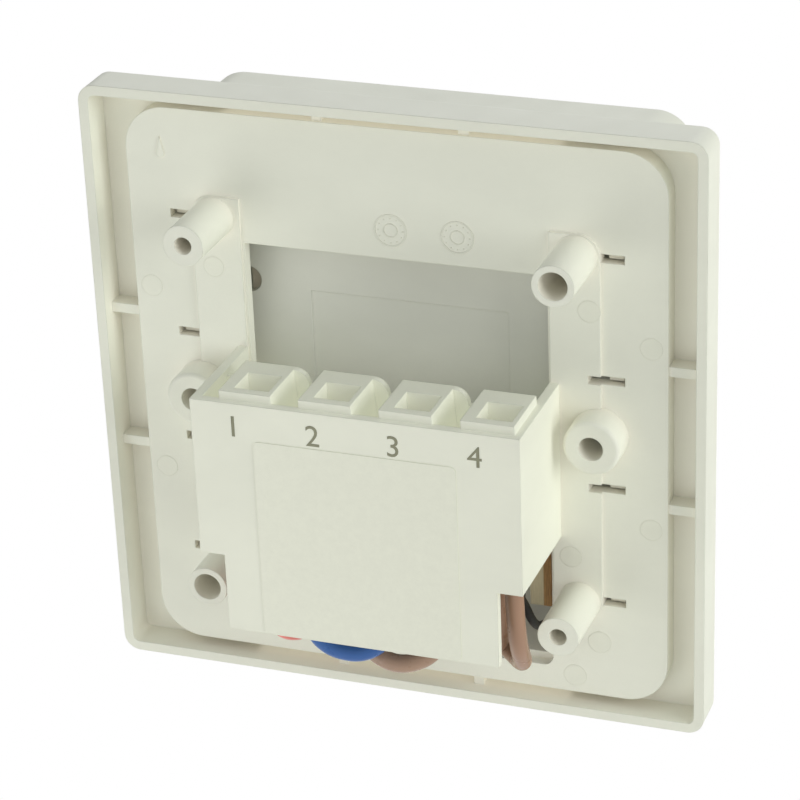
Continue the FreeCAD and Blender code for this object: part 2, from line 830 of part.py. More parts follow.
def build_front_case():
    """Raised case: four walls with a ledge that the fascia rests against, and clip tabs."""
    body = rounded_block("case_moulding", "case_width / 2", "case_height / 2", DECK_FRONT,
                         f"case_depth - ({DECK_FRONT})", "case_corner")
    half_x, half_z = size("case_width") / 2, size("case_height") / 2
    wide, tall = "case_width / 2 - case_wall", "case_height / 2 - case_wall"
    pocket(body, "case_hollow", DECK_FRONT, f"{FASCIA_BACK} - ({DECK_FRONT})",
           lambda s: rectangle(s, (f"-({wide})", wide), (f"-({tall})", tall)), True)
    round_edges(body, "hollow_corners", "case_corner - case_wall",
                lambda edge: along_depth(edge, half_x - size("case_wall"), half_z - size("case_wall")))
    pocket(body, "recess", "case_depth", "case_depth - fascia_depth",
           lambda s: rectangle(s, ("-recess_width / 2", "recess_width / 2"),
                               ("-recess_height / 2", "recess_height / 2")))
    recess_x, recess_z = size("recess_width") / 2, size("recess_height") / 2
    round_edges(body, "recess_low_corners", "recess_corner",
                lambda edge: along_depth(edge, recess_x, recess_z) and edge.BoundBox.Center.z < 0)
    round_edges(body, "recess_top_corners", "recess_top_corner",
                lambda edge: along_depth(edge, recess_x, recess_z) and edge.BoundBox.Center.z > 0)

    def tab_roots(sketch):
        wall_middle = "(case_width / 2 - case_wall / 2)"
        for side in (-1, 1):
            for place in ("slot_low", "slot_high", "-slot_low", "-slot_high"):
                ends = sorted((f"{side} * tab_inner", f"{side} * {wall_middle}"), key=float_of)
                rectangle(sketch, ends, (f"{place} - tab_width / 2", f"{place} + tab_width / 2"))

    def tab_tips(sketch):
        for side in (-1, 1):
            for place in ("slot_low", "slot_high", "-slot_low", "-slot_high"):
                ends = sorted((f"{side} * tab_inner", f"{side} * tab_outer"), key=float_of)
                rectangle(sketch, ends, (f"{place} - tab_width / 2", f"{place} + tab_width / 2"))

    pad(body, "tab_roots", DECK_FRONT, "tab_root", tab_roots)
    pad(body, "tab_tips", "tab_end", f"{DECK_FRONT} - tab_end", tab_tips)
    round_edges(body, "case_front_edge", "case_edge",
                lambda edge: at_depth(edge, size("case_depth"))
                and max(abs(edge.CenterOfMass.x) - half_x,
                        abs(edge.CenterOfMass.z) - half_z) > -size("case_wall"))
    doc.recompute()
    # the flap's pins turn in blind holes in the recess walls
    hinge = cross_rod("case_hinge_bore", "flap_pin + hinge_clearance",
                      ("-(recess_width / 2 + flap_pin_reach)", "recess_width / 2 + flap_pin_reach"),
                      FLAP_AXIS_DEPTH, "flap_axis_z")
    seat = rounded_block("fascia_seat", wide, tall, FASCIA_BACK, "fascia_wall", "case_corner - case_wall")
    return node("front_case", cut("front_case_bored", body, [hinge, seat]))


def build_fascia():
    """Fascia set in the case from behind, with its windows, posts and the lever's two lugs."""
    wide, tall = "case_width / 2 - case_wall - fascia_fit", "case_height / 2 - case_wall - fascia_fit"
    body = rounded_block("fascia_moulding", wide, tall, FASCIA_BACK, "fascia_wall", "case_corner - case_wall")

    def posts(sketch):
        for post_x, post_z in cover_corners():
            circle(sketch, "case_post", post_x, post_z)

    pad(body, "cover_posts", COVER_FRONT, f"{FASCIA_BACK} - ({COVER_FRONT})", posts)

    def switch_posts(sketch):
        for side in (-1, 1):
            circle(sketch, "switch_post", f"{side} * switch_screw_x", "-switch_screw_z")

    pad(body, "switch_posts", "switch_front", f"{FASCIA_BACK} - switch_front", switch_posts)

    def lugs(sketch):
        gap = "lever_width / 2 + lever_play"
        span = (f"-({tall})", "-(lever_axis_z - 2 * lever_pin_radius)")
        rectangle(sketch, (gap, f"{gap} + lug_wall"), span)
        rectangle(sketch, (f"-({gap} + lug_wall)", f"-({gap})"), span)

    pad(body, "lever_lugs", "switch_front + lug_gap", f"{FASCIA_BACK} - switch_front - lug_gap", lugs)
    pocket(body, "dial_window", "fascia_depth", "fascia_wall",
           lambda s: circle(s, "dial_radius + dial_gap", "0", "0"))

    def well_holes(sketch):
        for side in (-1, 1):
            circle(sketch, "well_radius", f"{side} * fixing_spacing / 2", "0")

    pocket(body, "well_holes", "fascia_depth", "fascia_wall", well_holes)

    def slider_slot(sketch):
        reach = "slider_width / 2 + slider_travel + slider_gap"
        rise = "slider_height / 2 + slider_gap"
        rectangle(sketch, (f"-({reach})", reach), (f"-slider_z - ({rise})", f"-slider_z + {rise}"))

    pocket(body, "slider_slot", "fascia_depth", "fascia_wall", slider_slot)
    pocket(body, "lens_hole", "fascia_depth", "fascia_wall",
           lambda s: circle(s, "lens_radius + slider_gap", "-lens_x", "-lens_z"))

    def post_pilots(sketch):
        for post_x, post_z in cover_corners():
            circle(sketch, "post_pilot", post_x, post_z)

    pocket(body, "post_pilots", COVER_FRONT, "post_pilot_deep", post_pilots, True)

    def switch_pilots(sketch):
        for side in (-1, 1):
            circle(sketch, "screw_radius + seat_gap", f"{side} * switch_screw_x", "-switch_screw_z")

    pocket(body, "switch_pilots", "switch_front", "switch_pilot_deep", switch_pilots, True)
    doc.recompute()
    # the lever's pin sits in the two lugs
    lug_reach = "lever_width / 2 + lever_play + lug_wall + seat_gap"
    lever = cross_rod("fascia_lever_bore", "lever_pin_radius + seat_gap", (f"-({lug_reach})", lug_reach),
                      "lever_axis_depth", "-lever_axis_z")
    return node("fascia", cut("fascia_bored", body, [lever]))


def build_screw_wells():
    """Two sleeves that keep the fixing screws apart from the movement, each flat where it meets the case."""
    sleeves = []
    span = (DECK_FRONT, FASCIA_BACK)
    for side in (-1, 1):
        place = (f"{side} * fixing_spacing / 2", "0")
        outer = rod(f"well_{side + 1}", "well_radius + well_wall", span, *place)
        inner = rod(f"well_bore_{side + 1}", "well_radius", span, *place)
        ends = sorted((f"{side} * (case_width / 2 - case_wall - fascia_fit)", f"{side} * case_width / 2"),
                      key=float_of)
        flat = slab(f"well_flat_{side + 1}", ends, span,
                    ("-(well_radius + well_wall)", "well_radius + well_wall"))
        sleeves.append(cut(f"well_sleeve_{side + 1}", outer, [inner, flat]))
    return node("screw_wells", group("screw_wells_group", sleeves))


def build_terminal_box():
    """Rear box with four square entry wells, deep gaps between them and two legs to the cover."""
    strip_face = "deck_depth - strip_rise"
    wide = "box_width / 2"
    shell = slab("box_shell", (f"-{wide}", wide), ("-box_end", strip_face), ("-box_shoulder", "box_top"))
    tail = slab("box_tail", ("-box_tail_width / 2", "box_tail_width / 2"),
                ("-box_end", "-(box_end - box_wall)"),
                ("-box_bottom", "-box_shoulder"))
    hollow = slab("box_hollow", (f"-({wide} - box_wall)", f"{wide} - box_wall"),
                  ("-(box_end - box_wall)", strip_face), ("-box_shoulder", "box_top"))
    walls = cut("box_walls", fuse("box_outer", [shell, tail]), [hollow])
    inside = (f"-({wide} - box_wall / 2)", f"{wide} - box_wall / 2")
    gap_wall = ("-(cell_far + gap_wall)", "-cell_far")
    shoulder_z = "cell_top - shoulder_radius"
    pieces = [walls, slab("gap_floor_sheet", inside, ("-(box_end - box_wall / 2)", strip_face),
                          ("gap_floor - box_wall", "gap_floor")),
              slab("gap_low_wall", inside, gap_wall, ("gap_floor - box_wall / 2", shoulder_z))]
    # the low wall rises in a round shoulder beside each cell that has another one next to it
    cells = int(size("cell_count"))
    pieces += [rod(f"shoulder_{index + 1}", "shoulder_radius", gap_wall, f"{cell_left(index)} - cell_width",
                   shoulder_z) for index in range(cells - 1)]
    wells = []
    for index in range(cells):
        left = cell_left(index)
        cell = doc.addObject("Part::Wedge", f"cell_{index + 1}")
        # each cell narrows a little towards its top on the side that faces the next gap
        for target, text in (("Ymin", "-cell_bottom"), ("Ymax", "cell_top"),
                             ("Xmin", f"{left} - cell_width - cell_slope"), ("Xmax", left),
                             ("X2min", f"{left} - cell_width"), ("X2max", left),
                             ("Zmin", "-(cell_near + box_wall / 4)"), ("Zmax", "-cell_far"),
                             ("Z2min", "-(cell_near + box_wall / 4)"), ("Z2max", "-cell_far")):
            bind(cell, target, text)
        cell.Placement = FreeCAD.Placement(FreeCAD.Vector(), FreeCAD.Rotation(FreeCAD.Vector(1, 0, 0), 90))
        pieces.append(cell)
        right = f"{left} - entry_offset - entry_size"
        wells.append(slab(f"entry_{index + 1}", (right, f"{right} + entry_size"),
                          ("-entry_near", "-(entry_near - entry_size)"),
                          ("-cell_bottom - box_wall", "cell_top + box_wall")))
    for side in (-1, 1):
        ends = sorted((f"{side} * leg_inner", f"{side} * leg_outer"), key=float_of)
        pieces.append(slab(f"leg_{side + 1}", ends, ("-leg_root", "cover_depth"),
                           ("-leg_bottom", "gap_floor")))
        middle = f"{side} * (leg_inner + leg_outer) / 2"
        wells.append(rod(f"leg_pilot_{side + 1}", "leg_pilot",
                         ("cover_depth - leg_pilot_deep", "cover_depth"), middle, "-leg_screw_z"))
    return node("terminal_box", cut("terminal_box_cut", fuse("box_all", pieces), wells))


def build_label():
    """Bare sticker on the rear face of the box."""
    half = "label_width / 2"
    body = new_body("rating_label")
    pad(body, "label_sheet", "-(box_end + label_wall)", "label_wall",
        lambda s: rectangle(s, (f"-{half}", half), ("-label_bottom", "label_top")))
    middle = (size("label_top") - size("label_bottom")) / 2
    tall = (size("label_top") + size("label_bottom")) / 2
    round_edges(body, "label_corners", "label_corner",
                lambda edge: near(edge.BoundBox.YLength, size("label_wall"))
                and edge.BoundBox.XLength < NEAR and near(abs(edge.BoundBox.Center.z - middle), tall))
    return node("rating_label", body)


def build_terminals():
    """A brass contact bar and a bent clamp spring in each entry well."""
    bars, leaves = [], []
    near_wall, far_wall = size("entry_near"), size("entry_near") - size("entry_size")
    for index in range(int(size("cell_count"))):
        middle = entry_middle(index)
        bars.append(slab(f"bar_{index + 1}", (f"{middle} - bar_width / 2", f"{middle} + bar_width / 2"),
                         ("-entry_near", "-(entry_near - bar_wall)"), ("-bar_bottom", "bar_top")))
        leaves.append(clamp_leaf(float_of(middle), near_wall, far_wall))
    node("terminal_bars", group("terminal_bars_group", bars))
    springs = doc.addObject("Part::Feature", "terminal_springs")
    springs.Shape = Part.makeCompound(leaves)
    node("terminal_springs", springs)


def clamp_leaf(middle, near_wall, far_wall):
    """Strip spring: an upright leg on the well's far wall, bent over at the top towards the bar."""
    wall = size("leaf_wall")
    top, low, tip_z = size("bar_top"), -size("leaf_bottom"), -size("leaf_tip_z")
    tip_y = near_wall - size("bar_wall") - size("leaf_tip_gap")
    run = math.hypot(tip_y - far_wall - wall, top - tip_z)
    skew = wall * run / (top - tip_z)
    outline = [(far_wall, low), (far_wall + wall, low), (far_wall + wall, top - wall),
               (tip_y - skew, tip_z), (tip_y, tip_z), (far_wall + wall + skew, top), (far_wall, top)]
    points = [FreeCAD.Vector(middle - size("bar_width") / 2, y, z) for y, z in outline]
    strip = Part.Face(Part.makePolygon(points + points[:1]))
    return strip.extrude(FreeCAD.Vector(size("bar_width"), 0, 0))


def slotted_screw(name, radius, head, depth, head_at, x, z):
    """Screw along Y with a slotted cheese head at the stated end, 'front' or 'rear'."""
    rear, front = depth
    shank = rod(f"{name}_shank", radius, (rear, front), x, z)
    if head_at == "front":
        cap = (front, f"({front}) + screw_head_height")
        slot = (f"({front}) + screw_head_height / 2", f"({front}) + screw_head_height")
    else:
        cap = (f"({rear}) - screw_head_height", rear)
        slot = (f"({rear}) - screw_head_height", f"({rear}) - screw_head_height / 2")
    crown = rod(f"{name}_head", head, cap, x, z)
    groove = slab(f"{name}_slot", (f"({x}) - ({head})", f"({x}) + ({head})"), slot,
                  (f"({z}) - screw_slot / 2", f"({z}) + screw_slot / 2"))
    return cut(f"{name}_cut", fuse(f"{name}_solid", [shank, crown]), [groove])


def cover_corners():
    return [("-post_left", "post_high"), ("post_right", "post_high"),
            ("-post_left", "-post_low_left"), ("post_right", "-post_low_right")]


def frame_corners():
    return [(x, z) for x in ("-pillar_left", "pillar_right") for z in ("pillar_high", "-pillar_low")]


def tag_outline(side, gap):
    """X and Z spans of one of the motor's two solder tags, widened by a gap."""
    middle = f"{PINION_X} + {side} * tag_spacing / 2"
    return ((f"{middle} - tag_width / 2 - {gap}", f"{middle} + tag_width / 2 + {gap}"),
            (f"-tag_z - tag_wall / 2 - {gap}", f"-tag_z + tag_wall / 2 + {gap}"))


def build_movement_cover():
    """Grey rear cover of the movement, with a shallow recess and a round dimple at one side."""
    body = new_body("movement_cover")
    pad(body, "cover_sheet", "cover_depth", "cover_wall",
        lambda s: rectangle(s, ("-cover_left", "cover_right"), ("-cover_bottom", "cover_top")))
    round_edges(body, "cover_corners", "cover_corner",
                lambda edge: near(edge.BoundBox.YLength, size("cover_wall")) and edge.BoundBox.XLength < NEAR)
    pocket(body, "cover_recess", "cover_depth", "cover_recess_deep",
           lambda s: rectangle(s, ("-cover_recess_width / 2", "cover_recess_width / 2"),
                               ("-cover_recess_bottom", "cover_recess_top")), True)
    pocket(body, "cover_notch", "cover_depth", "cover_notch_deep",
           lambda s: circle(s, "cover_notch_radius", "cover_right + cover_notch_offset", "cover_notch_z"),
           True)

    def screw_holes(sketch):
        for x, z in cover_corners():
            circle(sketch, "screw_radius + seat_gap", x, z)
        for side in (-1, 1):
            circle(sketch, "leg_pilot + seat_gap", f"{side} * (leg_inner + leg_outer) / 2", "-leg_screw_z")

    pocket(body, "cover_holes", "cover_depth", "cover_wall", screw_holes, True)

    def tag_slots(sketch):
        for side in (-1, 1):
            across, high = tag_outline(side, "tag_gap")
            rectangle(sketch, across, high)

    pocket(body, "cover_tag_slots", "cover_depth", "cover_wall", tag_slots, True)
    node("movement_cover", body)
    screws = [slotted_screw(f"cover_screw_{index}", "screw_radius", "screw_head",
                            ("cover_depth", f"{COVER_FRONT} + cover_screw_bite"), "rear", x, z)
              for index, (x, z) in enumerate(cover_corners())]
    node("cover_screws", group("cover_screws_group", screws))
    box_screws = [slotted_screw(f"box_screw_{side + 1}", "leg_pilot - seat_gap", "screw_head",
                                ("cover_depth - leg_screw_bite", COVER_FRONT), "front",
                                f"{side} * (leg_inner + leg_outer) / 2", "-leg_screw_z") for side in (-1, 1)]
    node("box_screws", group("box_screws_group", box_screws))


def build_movement_frame():
    """Metal plate on four spacers that carries the arbors and the motor."""
    sheet_plate = slab("frame_sheet", ("-frame_left", "frame_right"), ("frame_depth", FRAME_FRONT),
                       ("-frame_bottom", "frame_top"))
    holes = [rod("frame_dial_hole", "arbor_radius", ("frame_depth", FRAME_FRONT), "0", "0"),
             rod("frame_idler_hole", "idler_arbor_radius", ("frame_depth", FRAME_FRONT), IDLER_X, IDLER_Z),
             rod("frame_shaft_hole", "shaft_radius * 2", ("frame_depth", FRAME_FRONT), PINION_X, PINION_Z)]
    for index, (x, z) in enumerate(frame_corners()):
        holes.append(rod(f"frame_corner_hole_{index}", "screw_radius", ("frame_depth", FRAME_FRONT), x, z))
    for side in (-1, 1):
        holes.append(rod(f"frame_ear_hole_{side + 1}", "screw_radius", ("frame_depth", FRAME_FRONT),
                         f"{PINION_X} + {side} * ear_reach", MOTOR_Z))
    node("movement_plate", cut("movement_plate_cut", sheet_plate, holes))
    spacers = []
    for index, (x, z) in enumerate(frame_corners()):
        outer = rod(f"spacer_{index}", "spacer_radius", (COVER_FRONT, "frame_depth"), x, z)
        inner = rod(f"spacer_bore_{index}", "screw_radius", (COVER_FRONT, "frame_depth"), x, z)
        spacers.append(cut(f"spacer_tube_{index}", outer, [inner]))
    node("movement_posts", group("movement_posts_group", spacers))
    screws = [slotted_screw(f"frame_screw_{index}", "screw_radius", "screw_head",
                            (f"{COVER_FRONT} + seat_gap", FRAME_FRONT), "front", x, z)
              for index, (x, z) in enumerate(frame_corners())]
    node("plate_screws", group("plate_screws_group", screws))


def build_motor():
    """Flat synchronous motor: can with two ears, coil ring, solder tags, rotor and its screws."""
    inside = (f"{MOTOR_BACK} + motor_wall", "frame_depth - motor_wall")
    can = rod("motor_outer", "motor_radius", (MOTOR_BACK, "frame_depth"), PINION_X, MOTOR_Z)
    ears = [rod(f"motor_ear_{side + 1}", "ear_radius", ("frame_depth - ear_wall", "frame_depth"),
                f"{PINION_X} + {side} * ear_reach", MOTOR_Z) for side in (-1, 1)]
    bridge = slab("motor_bridge", (f"{PINION_X} - ear_reach", f"{PINION_X} + ear_reach"),
                  ("frame_depth - ear_wall", "frame_depth"),
                  (f"{MOTOR_Z} - ear_radius", f"{MOTOR_Z} + ear_radius"))
    hollow = rod("motor_hollow", "motor_radius - motor_wall", inside, PINION_X, MOTOR_Z)
    shaft_hole = rod("motor_shaft_hole", "shaft_radius + shaft_clearance",
                     ("frame_depth - motor_wall", "frame_depth"), PINION_X, PINION_Z)
    ear_holes = [rod(f"motor_ear_hole_{side + 1}", "screw_radius", ("frame_depth - ear_wall", "frame_depth"),
                     f"{PINION_X} + {side} * ear_reach", MOTOR_Z) for side in (-1, 1)]
    pin = rod("motor_rotor_pin", "rotor_pin",
              (f"{MOTOR_BACK} + motor_wall / 2", "frame_depth - 2 * motor_wall"), PINION_X, MOTOR_Z)
    tags, tag_holes = [], []
    for side in (-1, 1):
        across, high = tag_outline(side, "0")
        tags.append(slab(f"motor_tag_{side + 1}", across, ("tag_end", inside[0]), high))
        across, high = tag_outline(side, "tag_gap")
        tag_holes.append(slab(f"motor_tag_hole_{side + 1}", across, (MOTOR_BACK, inside[0]), high))
    shell = cut("motor_shell", fuse("motor_solid", [can, bridge, *ears]),
                [hollow, shaft_hole, *ear_holes, *tag_holes])
    node("motor_can", fuse("motor_can_solid", [shell, pin]))
    node("motor_tags", group("motor_tags_group", tags))
    coil_span = (inside[0], f"{inside[0]} + coil_length")
    ring = rod("coil_outer_ring", "coil_outer", coil_span, PINION_X, MOTOR_Z)
    bore = rod("coil_bore", "coil_inner", coil_span, PINION_X, MOTOR_Z)
    node("motor_coil", cut("motor_coil_ring", ring, [bore]))
    rotor_span = (f"{inside[0]} + rotor_play / 2", f"{inside[0]} + rotor_play / 2 + rotor_length")
    disc = rod("rotor_disc", "rotor_radius", rotor_span, PINION_X, MOTOR_Z)
    eye = rod("rotor_eye", "rotor_pin + shaft_clearance", rotor_span, PINION_X, MOTOR_Z)
    node("motor_rotor", cut("motor_rotor_disc", disc, [eye]))
    screws = [slotted_screw(f"motor_screw_{side + 1}", "screw_radius", "screw_small_head",
                            ("frame_depth - ear_wall", FRAME_FRONT), "front",
                            f"{PINION_X} + {side} * ear_reach", MOTOR_Z) for side in (-1, 1)]
    node("motor_screws", group("motor_screws_group", screws))


def toothed_face(teeth, phase, rear):
    """Flat outline of a spur gear in the XZ plane: straight-sided teeth, narrowed by the play."""
    module = size("gear_module")
    pitch = module * teeth / 2
    root, tip = pitch - TOOTH_DEPTH * module, pitch + TOOTH_HEIGHT * module
    play = size("tooth_play") / pitch
    half_root = math.pi / teeth * TOOTH_AT_ROOT - play
    half_pitch = math.pi / teeth * TOOTH_AT_PITCH - play
    half_tip = math.pi / teeth * TOOTH_AT_TIP
    points = []
    for tooth in range(teeth):
        middle = phase + 2 * math.pi * tooth / teeth
        for radius, turn in ((root, -half_root), (pitch, -half_pitch), (tip, -half_tip),
                             (tip, half_tip), (pitch, half_pitch), (root, half_root)):
            angle = middle + turn
            points.append(FreeCAD.Vector(radius * math.cos(angle), -rear, radius * math.sin(angle)))
    return Part.Face(Part.makePolygon(points + points[:1]))


def toothed_disc(teeth, phase, rear, front):
    return toothed_face(teeth, phase, rear).extrude(FreeCAD.Vector(0, rear - front, 0))


def turned(radius, rear, front):
    """Plain disc along Y about the gear's own axis."""
    return Part.makeCylinder(radius, front - rear, FreeCAD.Vector(0, -rear, 0), FreeCAD.Vector(0, -1, 0))


def build_gears():
    """Dial gear, idler with its pinion, and the motor's output pinion, all in mesh at rest."""
    dial_teeth, idler_teeth = int(size("dial_teeth")), int(size("idler_teeth"))
    small_teeth, motor_teeth = int(size("idler_pinion_teeth")), int(size("motor_teeth"))
    toward_idler = math.radians(size("idler_angle"))
    toward_motor = math.radians(size("motor_turn"))
    bore = size("shaft_clearance")
    rear, front = size("dial_gear_back"), size("dial_gear_front")

    wheel = toothed_disc(dial_teeth, toward_idler, rear, front)
    wheel = wheel.cut(turned(size("arbor_radius") + bore, rear, front))
    dial_gear = doc.addObject("Part::Feature", "dial_gear")
    dial_gear.Shape = wheel
    node("dial_gear", dial_gear)

    # a gap of each follower faces the tooth of the gear that drives it
    pinion_phase = toward_idler + math.pi + math.pi / small_teeth
    low, high = size("idler_back"), size("idler_front")
    pinion = toothed_disc(small_teeth, pinion_phase, high, front)
    disc = toothed_disc(idler_teeth, toward_motor, low, high)
    idler = disc.fuse(pinion).cut(turned(size("idler_arbor_radius") + bore, low, front))
    idler_gear = doc.addObject("Part::Feature", "idler_gear")
    idler_gear.Shape = idler
    idler_gear.Placement = FreeCAD.Placement(FreeCAD.Vector(float_of(IDLER_X), 0, float_of(IDLER_Z)),
                                             FreeCAD.Rotation())
    node("idler_gear", idler_gear)

    phase = toward_motor + math.pi + math.pi / motor_teeth
    output = toothed_disc(motor_teeth, phase, low, high)
    shaft = turned(size("shaft_radius"), size("frame_depth") - size("motor_wall"), high)
    motor_pinion = doc.addObject("Part::Feature", "motor_pinion")
    motor_pinion.Shape = output.fuse(shaft)
    motor_pinion.Placement = FreeCAD.Placement(FreeCAD.Vector(float_of(PINION_X), 0, float_of(PINION_Z)),
                                               FreeCAD.Rotation())
    node("motor_pinion", motor_pinion)
    node("dial_arbor", rod("dial_arbor_pin", "arbor_radius", ("frame_depth", "arbor_front"), "0", "0"))
    node("idler_arbor", rod("idler_arbor_pin", "idler_arbor_radius",
                            ("frame_depth", "dial_gear_front - seat_gap"), IDLER_X, IDLER_Z))


def build_dial():
    """Dial with a ring of tappet slots, its knob, retaining clip and clutch washer."""
    body = new_body("dial")
    pad(body, "dial_disc", "dial_back", "dial_face - dial_back",
        lambda s: circle(s, "dial_radius", "0", "0"))
    pocket(body, "washer_recess", "dial_back", "washer_wall",
           lambda s: circle(s, "washer_outer + seat_gap", "0", "0"), True)

    def number_ring(sketch):
        circle(sketch, "number_outer", "0", "0")
        circle(sketch, "number_inner", "0", "0")

    pocket(body, "number_band", "dial_face", "band_drop", number_ring)
    pocket(body, "dial_bore", "dial_face", "dial_face - dial_back",
           lambda s: circle(s, "arbor_radius + shaft_clearance", "0", "0"))
    half = "tappet_width / 2 + tappet_gap"
    slot = pocket(body, "tappet_slot", "dial_face", "dial_face - dial_back",
                  lambda s: rectangle(s, ("tappet_inner - tappet_gap", "tappet_outer + tappet_gap"),
                                      (f"-({half})", half)))
    ring = body.newObject("PartDesign::PolarPattern", "tappet_slots")
    ring.Originals = [slot]
    ring.Axis = (plane(body, "Y_Axis"), [""])
    ring.Angle = 360
    bind(ring, "Occurrences", "tappet_count")
    body.Tip = ring
    doc.recompute()
    node("dial", body)

    inner, outer = size("tappet_inner"), size("tappet_outer")
    width, length = size("tappet_width"), size("tappet_length")
    back = size("dial_back")
    block = Part.makeBox(outer - inner, length, width, FreeCAD.Vector(inner, -back - length, -width / 2))
    outer_front = [edge for edge in block.Edges
                   if near(edge.CenterOfMass.x, outer) and near(edge.CenterOfMass.y, -back - length)]
    block = block.makeFillet(width / 2, outer_front)
    count, groups = int(size("tappet_count")), int(size("tappet_group_count"))
    share = count // groups
    for index in range(groups):
        solids = []
        for member in range(share):
            # the first tappet stands at the bottom of the dial, in front of the reader lever
            angle = 90 + 360 / count * (index * share + member)
            copy = block.copy()
            copy.rotate(FreeCAD.Vector(), FreeCAD.Vector(0, 1, 0), angle)
            solids.append(copy)
        tappets = doc.addObject("Part::Feature", f"tappets_{index + 1:02d}")
        tappets.Shape = Part.makeCompound(solids)
        node(f"tappets_{index + 1:02d}", tappets)

    top = "dial_face + knob_height"
    knob = rod("knob_disc", "knob_radius", ("dial_face", top), "0", "0")
    tools = [rod("knob_hollow_bore", "knob_hollow", ("dial_face", f"{top} - knob_skin"), "0", "0")]
    flutes = int(size("knob_flutes"))
    for index in range(flutes):
        angle = 360 / flutes * index
        tools.append(rod(f"knob_flute_{index}", "knob_flute_radius", ("dial_face + band_drop", top),
                         f"(knob_radius + knob_flute_radius / 2) * cos({angle} * 1deg)",
                         f"(knob_radius + knob_flute_radius / 2) * sin({angle} * 1deg)"))
    node("dial_knob", cut("dial_knob_cut", knob, tools))

    clip_span = ("dial_face + seat_gap", "dial_face + seat_gap + clip_wall")
    clip = rod("clip_disc", "clip_radius", clip_span, "0", "0")
    mouth = slab("clip_mouth", ("-arbor_radius / 2", "arbor_radius / 2"), clip_span, ("0", "clip_radius"))
    eye = rod("clip_eye", "arbor_radius", clip_span, "0", "0")
    node("dial_clip", cut("dial_clip_cut", clip, [mouth, eye]))

    washer_span = ("dial_gear_front + seat_gap", "dial_back + washer_wall")
    washer = rod("washer_disc", "washer_outer", washer_span, "0", "0")
    washer_eye = rod("washer_eye", "arbor_radius + shaft_clearance", washer_span, "0", "0")
    node("clutch_washer", cut("clutch_washer_cut", washer, [washer_eye]))


def build_microswitch():
    """Microswitch body, plunger, blade, contacts, tabs and its two screws."""
    half = "switch_width / 2"
    block = slab("switch_block", (f"-{half}", half), ("switch_back", "switch_front"),
                 ("-switch_bottom", "-switch_top"))
    inner = f"{half} - 3 * switch_wall"
    cavity = slab("switch_cavity", (f"-({inner})", inner),
                  ("switch_back + switch_wall", "switch_front - switch_wall"),
                  ("-(switch_screw_z - 2 * switch_wall)", "-(switch_top + switch_wall)"))
    hole = rod("switch_plunger_hole", "plunger_radius + shaft_clearance",
               ("switch_front - switch_wall", "switch_front"), "0", "-plunger_z")
    tabs, slots = [], []
    for place in (-1, 0, 1):
        middle = f"{place} * switch_tab_spacing"
        across = (f"{middle} - switch_tab_width / 2", f"{middle} + switch_tab_width / 2")
        high = ("-switch_tab_z - switch_tab_wall / 2", "-switch_tab_z + switch_tab_wall / 2")
        span = ("switch_back - switch_tab_length", "switch_back + switch_wall")
        tabs.append(slab(f"switch_tab_{place + 1}", across, span, high))
        slots.append(slab(f"switch_tab_slot_{place + 1}", across,
                          ("switch_back", "switch_back + switch_wall"), high))
    screw_holes = [rod(f"switch_screw_hole_{side + 1}", "screw_radius", ("switch_back", "switch_front"),
                       f"{side} * switch_screw_x", "-switch_screw_z") for side in (-1, 1)]
    node("switch_body", cut("switch_body_cut", block, [cavity, hole, *slots, *screw_holes]))
    node("switch_tabs", group("switch_tabs_group", tabs))
    node("switch_plunger", rod("plunger_pin", "plunger_radius",
                               ("plunger_front - plunger_length", "plunger_front"), "0", "-plunger_z"))
    blade_depth = "plunger_front - plunger_length - plunger_travel"
    node("switch_blade", slab("blade_strip", (f"-({inner})", inner),
                              (f"{blade_depth} - blade_wall", blade_depth),
                              ("-plunger_z - blade_width / 2", "-plunger_z + blade_width / 2")))
    contacts = [rod(f"contact_{side + 1}", "contact_radius",
                    ("switch_back + switch_wall", f"{blade_depth} - blade_wall - seat_gap"),
                    f"{side} * contact_reach", "-plunger_z + seat_gap") for side in (-1, 1)]
    node("switch_contacts", group("switch_contacts_group", contacts))
    screws = [slotted_screw(f"switch_screw_{side + 1}", "screw_radius", "screw_small_head",
                            ("switch_back", "switch_front + switch_screw_bite"), "rear",
                            f"{side} * switch_screw_x", "-switch_screw_z") for side in (-1, 1)]
    node("switch_screws", group("switch_screws_group", screws))


def build_lever():
    """Lever that rocks on a pin: its tip lies behind the tappets and its middle on the plunger."""
    half = "lever_width / 2"
    arm = slab("lever_arm", (f"-{half}", half), (LEVER_BACK, LEVER_FRONT),
               ("-lever_axis_z", "-(lever_tip_z + lever_wall)"))
    eye = cross_rod("lever_boss", "lever_eye", (f"-{half}", half), "lever_axis_depth", "-lever_axis_z")
    tip = slab("lever_tip", ("-lever_tip_width / 2", "lever_tip_width / 2"),
               (LEVER_BACK, "dial_back - lever_play"), ("-(lever_tip_z + 2 * lever_wall)", "-lever_tip_z"))
    heel = slab("lever_heel", ("-plunger_radius", "plunger_radius"),
                ("plunger_front + seat_gap", LEVER_FRONT),
                ("-plunger_z - plunger_radius", "-plunger_z + plunger_radius"))
    bore = cross_rod("lever_bore", "lever_pin_radius + hinge_clearance", (f"-{half}", half),
                     "lever_axis_depth", "-lever_axis_z")
    node("reader_lever", cut("reader_lever_cut", fuse("lever_solid", [arm, eye, tip, heel]), [bore]))
    reach = "lever_width / 2 + lever_play + lug_wall"
    node("lever_pin", cross_rod("lever_pin_rod", "lever_pin_radius", (f"-({reach})", reach),
                                "lever_axis_depth", "-lever_axis_z"))


